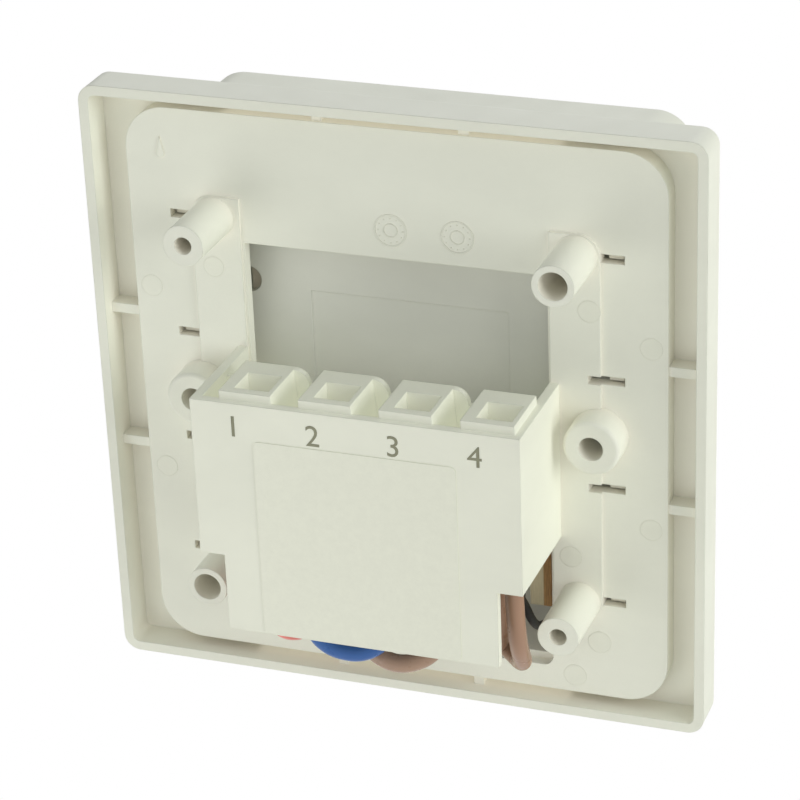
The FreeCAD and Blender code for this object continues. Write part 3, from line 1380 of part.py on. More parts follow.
def build_slider_and_lamp():
    """Override slide with its shoe behind the fascia, and the indicator lens with its lamp."""
    half, rise = "slider_width / 2", "slider_height / 2"
    stem = slab("slider_stem", (f"-{half}", half),
                (f"{FASCIA_BACK} - slider_gap", "fascia_depth + slider_proud"),
                (f"-slider_z - {rise}", f"-slider_z + {rise}"))
    shoe = slab("slider_shoe", ("-shoe_width / 2", "shoe_width / 2"),
                (f"{FASCIA_BACK} - slider_gap - shoe_wall", f"{FASCIA_BACK} - slider_gap"),
                ("-slider_z - shoe_height / 2", "-slider_z + shoe_height / 2"))
    grooves = [slab(f"slider_groove_{place}", (f"{place} * slider_width / 4 - screw_slot / 2",
                                               f"{place} * slider_width / 4 + screw_slot / 2"),
                    ("fascia_depth + slider_proud / 2", "fascia_depth + slider_proud"),
                    (f"-slider_z - {rise}", f"-slider_z + {rise}")) for place in (-1, 0, 1)]
    node("mode_slider", cut("mode_slider_cut", fuse("slider_solid", [stem, shoe]), grooves))
    lens = rod("lens_stem", "lens_radius", (FASCIA_BACK, "fascia_depth + lens_proud"), "-lens_x", "-lens_z")
    flange = rod("lens_rim", "lens_flange", (f"{FASCIA_BACK} - lens_proud", FASCIA_BACK), "-lens_x", "-lens_z")
    node("indicator_lens", fuse("indicator_lens_solid", [lens, flange]))
    lamp_front = f"{FASCIA_BACK} - lens_proud"
    glass = rod("lamp_glass", "lamp_radius", (f"{lamp_front} - lamp_length", lamp_front), "-lens_x", "-lens_z")
    node("neon_lamp", glass)


def build_flap():
    """Clear cover that lies flush in the case's recess and lifts about its top edge."""
    body = new_body("flap_moulding")
    half = "recess_width / 2 - flap_gap"
    low = "-(recess_height / 2 - flap_gap)"
    pad(body, "flap_panel", "case_depth - flap_wall", "flap_wall",
        lambda s: rectangle(s, (f"-({half})", half), (low, "flap_axis_z")))
    low_z = -float_of(low)
    round_edges(body, "flap_corners", "flap_corner",
                lambda edge: along_depth(edge, float_of(half), low_z) and edge.BoundBox.Center.z < 0)
    pocket(body, "finger_notch", "case_depth", "flap_wall",
           lambda s: circle(s, "notch_radius", "0", f"{low} + notch_rise - notch_radius"))
    reach = f"{half} - flap_pin_reach / 2"
    barrel = cross_rod("flap_barrel_rod", "flap_barrel", (f"-({reach})", reach), FLAP_AXIS_DEPTH, "flap_axis_z")
    bores = []
    for side in (-1, 1):
        ends = sorted((f"{side} * ({half})", f"{side} * ({half} - 2 * flap_pin_reach)"), key=float_of)
        bores.append(cross_rod(f"flap_bore_{side + 1}", "flap_pin", ends, FLAP_AXIS_DEPTH, "flap_axis_z"))
    node("flap_cover", cut("flap_cover_bored", fuse("flap_solid", [body, barrel]), bores))
    pins = []
    for side in (-1, 1):
        inner = f"{side} * ({half} - 2 * flap_pin_reach)"
        outer = f"{side} * (recess_width / 2 + flap_pin_reach - hinge_clearance)"
        ends = sorted((inner, outer), key=float_of)
        pins.append(cross_rod(f"flap_pin_{side + 1}", "flap_pin", ends, FLAP_AXIS_DEPTH, "flap_axis_z"))
    node("flap_pins", group("flap_pins_group", pins))


def lead_path(points):
    """Straight runs joined by tangent arcs, each as large as its two runs allow."""
    edges, radii = [], []
    start = points[0]
    for before, corner, after in zip(points, points[1:], points[2:]):
        back, ahead = before - corner, after - corner
        turn = math.pi - back.getAngle(ahead)
        reach = 0.45 * min(back.Length, ahead.Length)
        radius = reach / math.tan(turn / 2)
        first = corner + back.normalize() * reach
        last = corner + ahead.normalize() * reach
        inward = (back + ahead).normalize()
        middle = corner + inward * (radius / math.cos(turn / 2) - radius)
        edges.append(Part.LineSegment(start, first).toShape())
        edges.append(Part.Arc(first, middle, last).toShape())
        radii.append(radius)
        start = last
    edges.append(Part.LineSegment(start, points[-1]).toShape())
    return Part.Wire(edges), radii


def lead_points(route):
    """Places of a route's points: the first ones go with its terminal bar, the others with its far end."""
    tab_face, tab_drop = "-(switch_back - switch_tab_length)", "-switch_tab_z"
    tag_low = "-(tag_z + tag_wall / 2)"
    lead_ends = {
        "left_tab": ("-switch_tab_spacing", tab_face, tab_drop),
        "middle_tab": ("0", tab_face, tab_drop),
        "right_tab": ("switch_tab_spacing", tab_face, tab_drop),
        "left_tag": (f"{PINION_X} - tag_spacing / 2", "-tag_end", tag_low),
        "right_tag": (f"{PINION_X} + tag_spacing / 2", "-tag_end", tag_low),
        "lamp": ("-lens_x", f"-({FASCIA_BACK} - lens_proud - lamp_length)", "-lens_z"),
    }
    bar = (entry_middle(route["bar"]), "entry_near - bar_wall", "-bar_bottom")
    points = []
    for base, offsets in ((bar, route["start"]), (lead_ends[route["end"]], route["finish"])):
        corner = FreeCAD.Vector(*(float_of(text) for text in base))
        points += [corner + FreeCAD.Vector(*offset) for offset in offsets]
    return points


def build_leads():
    """Insulated leads that run from the terminal bars, under the box and into the case."""
    for label, route in LEAD_ROUTES.items():
        radius = size(route["radius"])
        points = lead_points(route)
        path, radii = lead_path(points)
        first, second = points[:2]
        ring = Part.Wire(Part.Circle(first, second - first, radius).toShape())
        tube = path.makePipeShell([ring], True, True)
        expected = math.pi * radius ** 2 * path.Length
        if abs(tube.Volume - expected) > expected / 100:
            raise RuntimeError(f"{label} has the wrong volume")
        print(label, "length", round(path.Length, 1), "bend radii", [round(bend, 1) for bend in radii])
        lead = doc.addObject("Part::Feature", label)
        lead.Shape = tube
        node(label, lead)
    node("link_board", slab("link_board_sheet", ("-board_outer", "-(board_outer - board_wall)"),
                            ("board_back", "cover_depth"), ("-board_bottom", "-board_top")))


build_back_plate()
build_front_case()
build_fascia()
build_screw_wells()
build_terminal_box()
build_label()
build_terminals()
build_movement_cover()
build_movement_frame()
build_motor()
build_gears()
build_dial()
build_microswitch()
build_lever()
build_slider_and_lamp()
build_flap()
build_leads()
doc.recompute()

for item in doc.Objects:
    if "Invalid" in item.State or "Error" in item.State:
        raise RuntimeError(f"{item.Label} failed: {item.State}")
for item in nodes:
    if item.Shape.isNull() or not item.Shape.isValid():
        raise RuntimeError(f"{item.Label} has no valid shape")
    if item.Shape.Volume <= 0:
        raise RuntimeError(f"{item.Label} is empty")

os.makedirs("parts", exist_ok=True)
for item in nodes:
    item.Shape.exportStep(f"parts/{item.Label}.step")
print(len(nodes), "nodes written")
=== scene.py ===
import json
import math

import bmesh
import bpy
from mathutils import Matrix, Vector


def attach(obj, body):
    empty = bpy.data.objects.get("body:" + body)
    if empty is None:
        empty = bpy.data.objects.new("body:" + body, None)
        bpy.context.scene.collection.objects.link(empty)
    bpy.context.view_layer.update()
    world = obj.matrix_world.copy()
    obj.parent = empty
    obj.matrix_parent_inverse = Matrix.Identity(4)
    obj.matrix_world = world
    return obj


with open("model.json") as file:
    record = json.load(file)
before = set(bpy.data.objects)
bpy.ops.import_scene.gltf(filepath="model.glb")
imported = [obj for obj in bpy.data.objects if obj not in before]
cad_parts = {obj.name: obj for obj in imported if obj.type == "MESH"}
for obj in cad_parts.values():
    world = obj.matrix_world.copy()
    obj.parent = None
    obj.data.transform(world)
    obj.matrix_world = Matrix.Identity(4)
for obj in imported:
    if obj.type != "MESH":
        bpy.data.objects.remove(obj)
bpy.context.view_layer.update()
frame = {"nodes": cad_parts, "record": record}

MM = 0.001
NODES = frame["nodes"]
SLOT_OF = {row["node"]: row["material_slot"] for row in frame["record"]["subparts"]}

# Materials

# Noise textures, with their scale per metre.
FLOW_MARKS = {"scale": 38, "detail": 5.0, "roughness": 0.6, "stretch": (1, 1, 1.8)}
GLOSS_CLOUDS = {"scale": 220, "detail": 3.0}
MOULD_GRAIN = {"scale": 2600, "detail": 2.0}
DRAWN_STREAKS = {"scale": 420, "roughness": 0.65}
SURFACE_WAVES = {"scale": 60, "detail": 3.0}
CLEAR_CLOUDS = {"scale": 300, "detail": 2.0}
PAPER_FIBRE = {"scale": 900, "detail": 5.0, "roughness": 0.7}
BOARD_LAYERS = {"scale": 500, "roughness": 0.6, "stretch": (14, 1, 1)}

# Rays that the edge and shelter masks take per sample.
BEVEL_SAMPLES = 4
SHELTER_SAMPLES = 6

# Moulded plastic: how much paler its edges are, partly wear and partly a painted highlight, and how much it
# mirrors.
EDGE_FACTOR = 1.14
EDGE_LIFT = 0.004
PLASTIC_SPECULAR = 0.32

# Painted light in pale plastic: a warm tint and a faint emission where walls stand close, which lift the
# shade. Openness runs from 0 in a closed corner to 1 on a free face: first where shelter is full and where
# it ends, then where the painted glow of a channel starts, is full, begins to fade and ends.
SHELTERED = (0.2, 0.85)
CHANNEL_OPENNESS = (0.22, 0.42, 0.62, 0.9)

# How far away the walls count for each, and where the deep hollows lie: near the middle, behind the fascia.
GLOW_REACH = 5 * MM
GLOW_STRENGTH = 0.75
SHINE_REACH = 20 * MM
HOLLOW_HALF_WIDTH = 25 * MM
HOLLOW_BLUR = 0.5 * MM
FASCIA_REAR = -21.5 * MM
FACE_BLUR = 0.1 * MM


def srgb(red, green, blue):
    """Turns an sRGB colour of 0 to 255 into the linear colour that shaders take."""
    def linear(value):
        value /= 255
        return value / 12.92 if value <= 0.04045 else ((value + 0.055) / 1.055) ** 2.4
    return (linear(red), linear(green), linear(blue), 1.0)


def scaled(colour, factor, lift=0.0):
    """The colour with each channel times a factor, plus a small lift."""
    return tuple(min(1.0, channel * factor + lift) for channel in colour[:3]) + (1.0,)


class Graph:
    """A node tree with short ways to add to it."""

    def __init__(self, tree):
        self.tree = tree

    def node(self, kind, **settings):
        made = self.tree.nodes.new(kind)
        for key, value in settings.items():
            setattr(made, key, value)
        return made

    def feed(self, socket, value):
        """Sets an input to a value, or links it to the output that gives its value."""
        if isinstance(value, bpy.types.NodeSocket):
            self.tree.links.new(value, socket)
        else:
            socket.default_value = value

    def arithmetic(self, operation, first, second=None):
        made = self.node("ShaderNodeMath", operation=operation)
        self.feed(made.inputs[0], first)
        if second is not None:
            self.feed(made.inputs[1], second)
        return made.outputs["Value"]

    def vectors(self, operation, first, second, output):
        made = self.node("ShaderNodeVectorMath", operation=operation)
        self.feed(made.inputs[0], first)
        self.feed(made.inputs[1], second)
        return made.outputs[output]

    def remap(self, value, source=(0.0, 1.0), target=(0.0, 1.0)):
        """Maps one range of a value onto another, and holds it at the ends."""
        made = self.node("ShaderNodeMapRange")
        self.feed(made.inputs["Value"], value)
        for title, ends in (("From", source), ("To", target)):
            self.feed(made.inputs[f"{title} Min"], ends[0])
            self.feed(made.inputs[f"{title} Max"], ends[1])
        return made.outputs["Result"]

    def above(self, value, limit, blur):
        """White where a value is over its limit, with a narrow change."""
        return self.remap(value, (limit - blur, limit + blur))

    def below(self, value, limit, blur):
        """White where a value is under its limit, with a narrow change."""
        return self.remap(value, (limit + blur, limit - blur))

    def ramp(self, value, stops):
        """Blends through stops of a position and a colour."""
        made = self.node("ShaderNodeValToRGB")
        self.feed(made.inputs["Fac"], value)
        elements = made.color_ramp.elements
        while len(elements) < len(stops):
            elements.new(0.5)
        for element, (position, colour) in zip(elements, stops):
            element.position = position
            element.color = colour
        return made.outputs["Color"]

    def shades(self, value, colour, darkest, ends=(0.3, 0.7)):
        """The colour where a value is high, and a darker shade of it where it is low."""
        low, high = ends
        return self.ramp(value, [(low, scaled(colour, darkest)), (high, colour)])

    def mix(self, factor, first, second):
        made = self.node("ShaderNodeMix", data_type="RGBA")
        colours = [socket for socket in made.inputs if socket.type == "RGBA"]
        for socket, value in zip((made.inputs["Factor"], *colours), (factor, first, second)):
            self.feed(socket, value)
        return next(socket for socket in made.outputs if socket.type == "RGBA")


class Paint(Graph):
    """A new material with a Principled shader, and the masks and textures that its looks are made of."""

    def __init__(self, name):
        self.material = bpy.data.materials.new(name)
        self.material.use_nodes = True
        super().__init__(self.material.node_tree)
        self.shader = self.tree.nodes["Principled BSDF"]
        self.place = self.node("ShaderNodeTexCoord").outputs["Object"]

    def give(self, title, value):
        """Sets or links one of the shader's own inputs."""
        self.feed(self.shader.inputs[title], value)

    def noise(self, scale, detail=4.0, roughness=0.55, stretch=(1, 1, 1)):
        mapping = self.node("ShaderNodeMapping")
        self.feed(mapping.inputs["Vector"], self.place)
        self.feed(mapping.inputs["Scale"], stretch)
        texture = self.node("ShaderNodeTexNoise")
        self.feed(texture.inputs["Vector"], mapping.outputs["Vector"])
        self.feed(texture.inputs["Scale"], scale)
        self.feed(texture.inputs["Detail"], detail)
        self.feed(texture.inputs["Roughness"], roughness)
        return texture.outputs["Fac"]

    def axes(self):
        made = self.node("ShaderNodeSeparateXYZ")
        self.feed(made.inputs["Vector"], self.place)
        return made.outputs

    def rounded_normal(self, radius):
        bevel = self.node("ShaderNodeBevel", samples=BEVEL_SAMPLES)
        self.feed(bevel.inputs["Radius"], radius)
        return bevel.outputs["Normal"]

    def edge_mask(self, radius, gain):
        """White near sharp edges, from how far the rounded normal turns away from the true one."""
        true_normal = self.node("ShaderNodeNewGeometry").outputs["Normal"]
        likeness = self.vectors("DOT_PRODUCT", self.rounded_normal(radius), true_normal, "Value")
        return self.remap(likeness, (1.0, 1.0 - gain))

    def openness(self, reach):
        """Low where other walls stand close around a point, high on a free face."""
        covered = self.node("ShaderNodeAmbientOcclusion", samples=SHELTER_SAMPLES)
        self.feed(covered.inputs["Distance"], reach)
        return covered.outputs["AO"]

    def shine(self, shallow, deep):
        """Painted glow, a level of emission that lifts shade: shallow in open channels, deep in the
        middle's hollows.
        """
        openness = self.openness(SHINE_REACH)
        levels = (0.0, shallow, shallow, 0.0)
        channels = self.ramp(openness, [(position, (level, level, level, 1.0))
                                        for position, level in zip(CHANNEL_OPENNESS, levels)])
        hollows = self.remap(openness, SHELTERED, (deep, 0.0))
        axes = self.axes()
        middle = self.below(self.arithmetic("ABSOLUTE", axes["X"]), HOLLOW_HALF_WIDTH, HOLLOW_BLUR)
        behind = self.above(axes["Y"], FASCIA_REAR, FACE_BLUR)
        inner = self.arithmetic("MULTIPLY", middle, behind)
        return self.arithmetic("MAXIMUM", channels, self.arithmetic("MULTIPLY", hollows, inner))

    def inside_circle(self, x, z, radius):
        """White within a radius of a place in the x-z plane, in mm."""
        flat = self.vectors("MULTIPLY", self.place, (1, 0, 1), "Vector")
        away = self.vectors("DISTANCE", flat, (x * MM, 0, z * MM), "Value")
        return self.below(away, radius * MM - FACE_BLUR / 2, FACE_BLUR / 2)

    def relief(self, height, strength, depth, edge_radius=None):
        """Bump of a depth in mm, on top of softly rounded edges where a radius in mm is given."""
        bump = self.node("ShaderNodeBump")
        self.feed(bump.inputs["Strength"], strength)
        self.feed(bump.inputs["Distance"], depth * MM)
        self.feed(bump.inputs["Height"], height)
        if edge_radius:
            self.feed(bump.inputs["Normal"], self.rounded_normal(edge_radius * MM))
        self.give("Normal", bump.outputs["Normal"])


def plastic(name, colour, shade=0.94, gloss=(0.42, 0.58), grain=0.12, edge=0.6, glow=None, shine=0.0,
            deep=0.0, shade_spot=None):
    """Moulded plastic: faint flow marks in the colour, a fine grain, and paler edges that are partly wear
    and partly a painted highlight.

    Where a glow colour is given, painted light lifts the shade: narrow places are tinted towards that
    warmer colour, and a faint emission of it glows in channels and hollows.
    A shade spot is a round patch of painted shade in its own colour, given by its centre's x and z, its
    radius and its colour.
    """
    paint = Paint(name)
    tone = paint.shades(paint.noise(**FLOW_MARKS), colour, shade, ends=(0.3, 0.68))
    # Painted light: narrow places take a warm tint and glow faintly with emission, which lifts their shade.
    if glow:
        shelter = paint.remap(paint.openness(GLOW_REACH), SHELTERED, (GLOW_STRENGTH, 0.0))
        tone = paint.mix(shelter, tone, glow)
        paint.give("Emission Color", glow)
        paint.give("Emission Strength", paint.shine(shine, deep))
    # Painted shade: a round darker patch in the dimple.
    if shade_spot:
        x, z, radius, spot_shade = shade_spot
        tone = paint.mix(paint.inside_circle(x, z, radius), tone, spot_shade)
    # Paler edges: partly wear, partly a painted highlight along them.
    if edge:
        wear_and_highlight = paint.arithmetic("MULTIPLY", paint.edge_mask(radius=0.35 * MM, gain=0.35), edge)
        tone = paint.mix(wear_and_highlight, tone, scaled(colour, EDGE_FACTOR, EDGE_LIFT))
    paint.give("Base Color", tone)
    paint.give("Roughness", paint.remap(paint.noise(**GLOSS_CLOUDS), target=gloss))
    paint.give("Specular IOR Level", PLASTIC_SPECULAR)
    paint.relief(paint.noise(**MOULD_GRAIN), strength=grain, depth=0.04, edge_radius=0.25)
    return paint.material


def insulation(name, colour, shade=0.8, gloss=(0.22, 0.34)):
    """Soft plastic round a lead, glossy and without paler edges."""
    return plastic(name, colour, shade=shade, gloss=gloss, edge=0.0)


def ink(name, colour, shade=0.8):
    """Printed paint, nearly flat and without paler edges."""
    return plastic(name, colour, shade=shade, edge=0.0, grain=0.05)


def metal(name, colour, stretch=(1, 1, 12)):
    """Metal with drawn streaks and a little dulling."""
    paint = Paint(name)
    streaks = paint.noise(**DRAWN_STREAKS, stretch=stretch)
    paint.give("Base Color", paint.shades(streaks, colour, 0.75))
    paint.give("Roughness", paint.remap(streaks, target=(0.22, 0.42)))
    paint.give("Metallic", 1.0)
    paint.relief(streaks, strength=0.15, depth=0.02, edge_radius=0.1)
    return paint.material


def clear(name, colour, roughness, ior, transmission=1.0, alpha=1.0, rim=None):
    """Clear or tinted plastic or glass with faint waves, and a darker rim colour at its edges if one is
    given, as painted shade for how thick clear edges look dark.
    """
    paint = Paint(name)
    waves = paint.noise(**SURFACE_WAVES)
    tone = paint.shades(waves, colour, 0.97)
    # Painted shade: the rim colour along the edges.
    if rim:
        tone = paint.mix(paint.edge_mask(radius=0.6 * MM, gain=0.3), tone, rim)
    haze = paint.remap(paint.noise(**CLEAR_CLOUDS), target=(roughness * 0.6, roughness * 1.5))
    for title, value in (("Base Color", tone), ("Roughness", haze), ("IOR", ior),
                         ("Transmission Weight", transmission), ("Alpha", alpha)):
        paint.give(title, value)
    paint.relief(waves, strength=0.05, depth=0.05)
    return paint.material


def paper(name, colour):
    """Matt sticker with a very fine fibre."""
    paint = Paint(name)
    fibre = paint.noise(**PAPER_FIBRE)
    paint.give("Base Color", paint.shades(fibre, colour, 0.965, ends=(0.35, 0.65)))
    paint.give("Roughness", paint.remap(fibre, target=(0.42, 0.6)))
    paint.relief(fibre, strength=0.06, depth=0.02, edge_radius=0.04)
    return paint.material


def laminate(name, colour, unshaded_colour, change):
    """Board in its own pale colour above a change in x, and painted brown below it as painted shade, both
    in fine layers.
    """
    paint = Paint(name)
    layers = paint.noise(**BOARD_LAYERS)
    # face is the brown of painted shade below the change in x; above it lies the board's own pale colour.
    face = paint.shades(layers, colour, 0.6, ends=(0.35, 0.65))
    unshaded = paint.shades(layers, unshaded_colour, 0.85, ends=(0.35, 0.65))
    paint.give("Base Color", paint.mix(paint.above(paint.axes()["X"], change, FACE_BLUR), face, unshaded))
    paint.give("Roughness", paint.remap(layers, target=(0.5, 0.75)))
    paint.relief(layers, strength=0.3, depth=0.04, edge_radius=0.1)
    return paint.material


IVORY = srgb(227, 230, 217)
# Warm colour of the painted light in narrow places.
PAINTED_WARM_LIGHT = srgb(235, 230, 217)

# The round dimple in the movement cover is painted darker, as painted shade in the hollow: its centre's x
# and z, its radius and its colour, in mm.
DIMPLE = (24.7, 15.4, 2.03, srgb(214, 205, 190))

# The link board turns from its painted brown shade to its own pale colour at this x.
BOARD_SHADE_EDGE = -21.2 * MM

# The look of each material slot of the part.
LOOKS = {
    "ivory_plastic": (plastic, dict(colour=IVORY, glow=PAINTED_WARM_LIGHT, shine=0.12, deep=0.13)),
    "box_plastic": (plastic, dict(colour=srgb(230, 233, 219), glow=srgb(230, 231, 216), shine=0.05,
                                  deep=0.17)),
    "grey_plastic": (plastic, dict(colour=srgb(222, 224, 215), grain=0.2, gloss=(0.45, 0.6),
                                   glow=srgb(222, 223, 212), shine=0.04, shade_spot=DIMPLE)),
    "white_plastic": (plastic, dict(colour=srgb(228, 228, 220))),
    "dial_plastic": (plastic, dict(colour=srgb(236, 236, 228))),
    "tappet_plastic": (plastic, dict(colour=srgb(52, 82, 140), shade=0.8)),
    "black_plastic": (plastic, dict(colour=srgb(38, 38, 38), shade=0.7)),
    "red_plastic": (clear, dict(colour=srgb(214, 40, 28), roughness=0.12, ior=1.49, transmission=0.6)),
    "clear_plastic": (clear, dict(colour=srgb(243, 248, 248), roughness=0.03, ior=1.04, alpha=0.4,
                                  rim=srgb(96, 108, 108))),
    "lamp_glass": (clear, dict(colour=srgb(246, 214, 190), roughness=0.04, ior=1.5)),
    "phenolic": (laminate, dict(colour=srgb(178, 138, 86), unshaded_colour=srgb(208, 198, 164), change=BOARD_SHADE_EDGE)),
    "paper": (paper, dict(colour=srgb(227, 230, 215))),
    "brass": (metal, dict(colour=srgb(206, 170, 96))),
    "copper": (metal, dict(colour=srgb(196, 116, 70), stretch=(1, 30, 1))),
    "steel": (metal, dict(colour=srgb(184, 184, 180))),
    "brown_pvc": (insulation, dict(colour=srgb(158, 126, 104))),
    "black_pvc": (insulation, dict(colour=srgb(44, 42, 38), shade=0.7, gloss=(0.4, 0.55))),
    "blue_pvc": (insulation, dict(colour=srgb(60, 102, 168))),
    "tan_pvc": (insulation, dict(colour=srgb(170, 142, 122), shade=0.85)),
    "red_pvc": (insulation, dict(colour=srgb(236, 130, 118), shade=0.85)),
}
MATERIALS = {name: make(name, **values) for name, (make, values) in LOOKS.items()}
INK_GREY = ink("print_grey", srgb(140, 141, 118), shade=0.85)
INK_BLACK = ink("print_black", srgb(34, 34, 34))
INK_RED = ink("print_red", srgb(176, 40, 34))
MARK = plastic("pin_mark", srgb(226, 229, 215), gloss=(0.28, 0.4), grain=0.04, glow=PAINTED_WARM_LIGHT, shine=0.09,
               deep=0.13)

# The front panel lies open under the clear flap, so it takes no painted glow.
PANEL = plastic("panel_plastic", IVORY)

for name, piece in NODES.items():
    piece.data.materials.clear()
    piece.data.materials.append(PANEL if name == "fascia" else MATERIALS[SLOT_OF[name]])

# Marks

# Faces that carry marks, as y in mm: the wall plane is 0, the rear lies above it and the front below.
DECK_REAR = -1.85
STRIP_REAR = -1.35
BOX_REAR = 17.0
FASCIA_FRONT = -22.5
BAND_FRONT = -23.1
KNOB_FRONT = -25.6

# How far the marks stand out of their faces, in mm.
PIN_RISE = 0.02
DATE_RISE = 0.04
GATE_RISE = 0.16
PRINT_RISE = 0.03

# Ejector-pin marks on the rear, as x, z and radius in mm.
DECK_PINS = ((37.6, 15.2, 1.7), (37.4, -14.2, 1.7), (-37.6, 14.1, 1.7), (-37.6, -14.3, 1.7),
             (-29.8, -34.0, 1.8), (-26.0, -40.2, 1.8))
STRIP_PINS = ((-28.8, 19.0, 1.7), (-25.7, -20.1, 1.7), (27.4, 19.5, 1.6))

# Date wheels of the mould, in mm: their places, two rings by inner and outer radius, and a circle of dots.
DATE_PLACES = ((0.3, 27.8), (-9.6, 27.8))
DATE_RINGS = ((2.2, 2.5), (0.9, 1.1))
DATE_DOTS = 12
DATE_DOT_CIRCLE = 1.85
DATE_DOT_RADIUS = 0.12

# Drop-shaped gate mark in the deck's corner, in mm, with the start and sweep of its round end in degrees.
GATE_PLACE = (34.7, 36.0)
GATE_RADIUS = 0.62
GATE_ARC = (160, 220)
GATE_TIP = (34.7, 38.6)

# Plain numbers at the wells, in mm.
CELL_COUNT = 4
CELL_FIRST = 15.8
CELL_PITCH = 11.9
CELL_NUMBER_SHIFT = 2.1
CELL_NUMBER_Z = 3.7
CELL_NUMBER_SIZE = 4.6

# Dial print, in mm and degrees. Noon stands at the bottom, at the reading mark, and later hours follow
# anticlockwise.
READING_ANGLE = -90
HOUR_TURN = 15
HOUR_CIRCLE = 16.3
HOUR_SIZE = 2.7

# Ticks by length and half width, for the hour, its first quarter, its half and its last quarter.
TICK_COUNT = 96
TICK_OUTER = 19.35
TICK_SIZES = ((1.3, 0.16), (0.55, 0.1), (0.9, 0.1), (0.55, 0.1))

# Arrows by the radii of their band and head, and a tip that lies some degrees before the start of the band.
ARROW_STARTS = (20, 140, 260)
ARROW_SWEEP = 70
ARROW_BAND = (11.6, 12.1)
ARROW_HEAD = (12.9, 10.8)
ARROW_TIP_RADIUS = 11.85
ARROW_TIP_LEAD = 6

# Index line on the knob, by half its width and its lower and upper end.
INDEX_HALF_WIDTH = 0.25
INDEX_REACH = (-6.3, -2.6)

# Fascia print, in mm: a triangle, and three signs at the slide's places, of which the middle one is a clock
# with hands by their left, right, lower and upper edge about its centre.
READING_MARK = ((0, -25.5), (-1.1, -27.3), (1.1, -27.3))
SIGN_Z = -33.7
SIGN_SIZE = 2.4
SLIDE_TRAVEL = 4.0
CLOCK_RING = (0.85, 1.05)
CLOCK_HANDS = ((-0.08, 0.08, -0.1, 0.7), (-0.08, 0.55, -0.1, 0.06))

# Steps of round outlines.
CIRCLE_STEPS = 40
RING_STEPS = 48
DOT_STEPS = 8
DROP_STEPS = 20
ARROW_STEPS = 24

REAR_FACING = Matrix(((-1, 0, 0), (0, 0, 1), (0, 1, 0)))
FRONT_FACING = Matrix(((1, 0, 0), (0, 0, -1), (0, 1, 0)))


def add_mesh(name, mesh, material, body):
    """Adds a piece that rides on a body, with its material."""
    piece = bpy.data.objects.new(name, mesh)
    bpy.context.scene.collection.objects.link(piece)
    mesh.materials.clear()
    mesh.materials.append(material)
    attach(piece, body)
    return piece


def from_bmesh(name, shape, material, body):
    """Turns a finished shape into a piece."""
    mesh = bpy.data.meshes.new(name)
    shape.normal_update()
    shape.to_mesh(mesh)
    shape.free()
    return add_mesh(name, mesh, material, body)


def outline_prism(shape, points, near, far):
    """Adds a prism over a flat outline of x-z points in mm, between two y values in mm."""
    low = [shape.verts.new((x * MM, near * MM, z * MM)) for x, z in points]
    high = [shape.verts.new((x * MM, far * MM, z * MM)) for x, z in points]
    shape.faces.new(low)
    shape.faces.new(list(reversed(high)))
    for index in range(len(points)):
        after = (index + 1) % len(points)
        shape.faces.new([low[after], low[index], high[index], high[after]])


def polar(radius, degrees):
    """The x and z of a point at an angle, anticlockwise from +x as seen from the front."""
    angle = math.radians(degrees)
    return (radius * math.cos(angle), radius * math.sin(angle))


def circle_points(x, z, radius, steps=CIRCLE_STEPS, start=0.0, sweep=360.0):
    """Points round a circle, or along an arc with both its ends."""
    count = steps if sweep >= 360 else steps + 1
    offsets = [polar(radius, start + sweep * step / steps) for step in range(count)]
    return [(x + across, z + up) for across, up in offsets]


def rectangle_points(left, right, bottom, top):
    return [(left, bottom), (right, bottom), (right, top), (left, top)]


def ring_prism(shape, x, z, radii, near, far):
    """Adds a flat ring between two radii, as quads round its four edges."""
    inner, outer = radii
    loops = []
    for radius, y in ((inner, near), (outer, near), (outer, far), (inner, far)):
        points = circle_points(x, z, radius, RING_STEPS)
        loops.append([shape.verts.new((across * MM, y * MM, up * MM)) for across, up in points])
    for index in range(RING_STEPS):
        after = (index + 1) % RING_STEPS
        for first, second in zip(loops, loops[1:] + loops[:1]):
            shape.faces.new([first[index], first[after], second[after], second[index]])


def words(name, text, size, place, facing, material, body, turn=0.0):
    """Printed characters as a thin raised mesh, centred on a place in mm."""
    curve = bpy.data.curves.new(name, "FONT")
    curve.body = text
    curve.size = size * MM
    curve.align_x = "CENTER"
    curve.align_y = "CENTER"
    curve.extrude = PRINT_RISE * MM / 2
    curve.resolution_u = 4
    holder = bpy.data.objects.new(name + "_text", curve)
    bpy.context.scene.collection.objects.link(holder)
    bpy.context.view_layer.update()
    mesh = bpy.data.meshes.new_from_object(holder)
    bpy.data.objects.remove(holder)
    mesh.transform(Matrix.Rotation(math.radians(turn), 4, "Z"))
    mesh.transform(Matrix.Translation(Vector(place) * MM) @ facing.to_4x4())
    return add_mesh(name, mesh, material, body)


def pin_marks():
    """Round ejector-pin marks on the plate's deck and on the strips beside its window."""
    shape = bmesh.new()
    for face, pins in ((DECK_REAR, DECK_PINS), (STRIP_REAR, STRIP_PINS)):
        for x, z, radius in pins:
            outline_prism(shape, circle_points(x, z, radius), face, face + PIN_RISE)
    from_bmesh("deck_pin_marks", shape, MARK, "housing")


def date_rings():
    """Two plain date wheels on the deck."""
    shape = bmesh.new()
    face, top = DECK_REAR, DECK_REAR + DATE_RISE
    for x, z in DATE_PLACES:
        for radii in DATE_RINGS:
            ring_prism(shape, x, z, radii, face, top)
        for dot_x, dot_z in circle_points(x, z, DATE_DOT_CIRCLE, DATE_DOTS):
            outline_prism(shape, circle_points(dot_x, dot_z, DATE_DOT_RADIUS, DOT_STEPS), face, top)
    from_bmesh("deck_date_rings", shape, MARK, "housing")


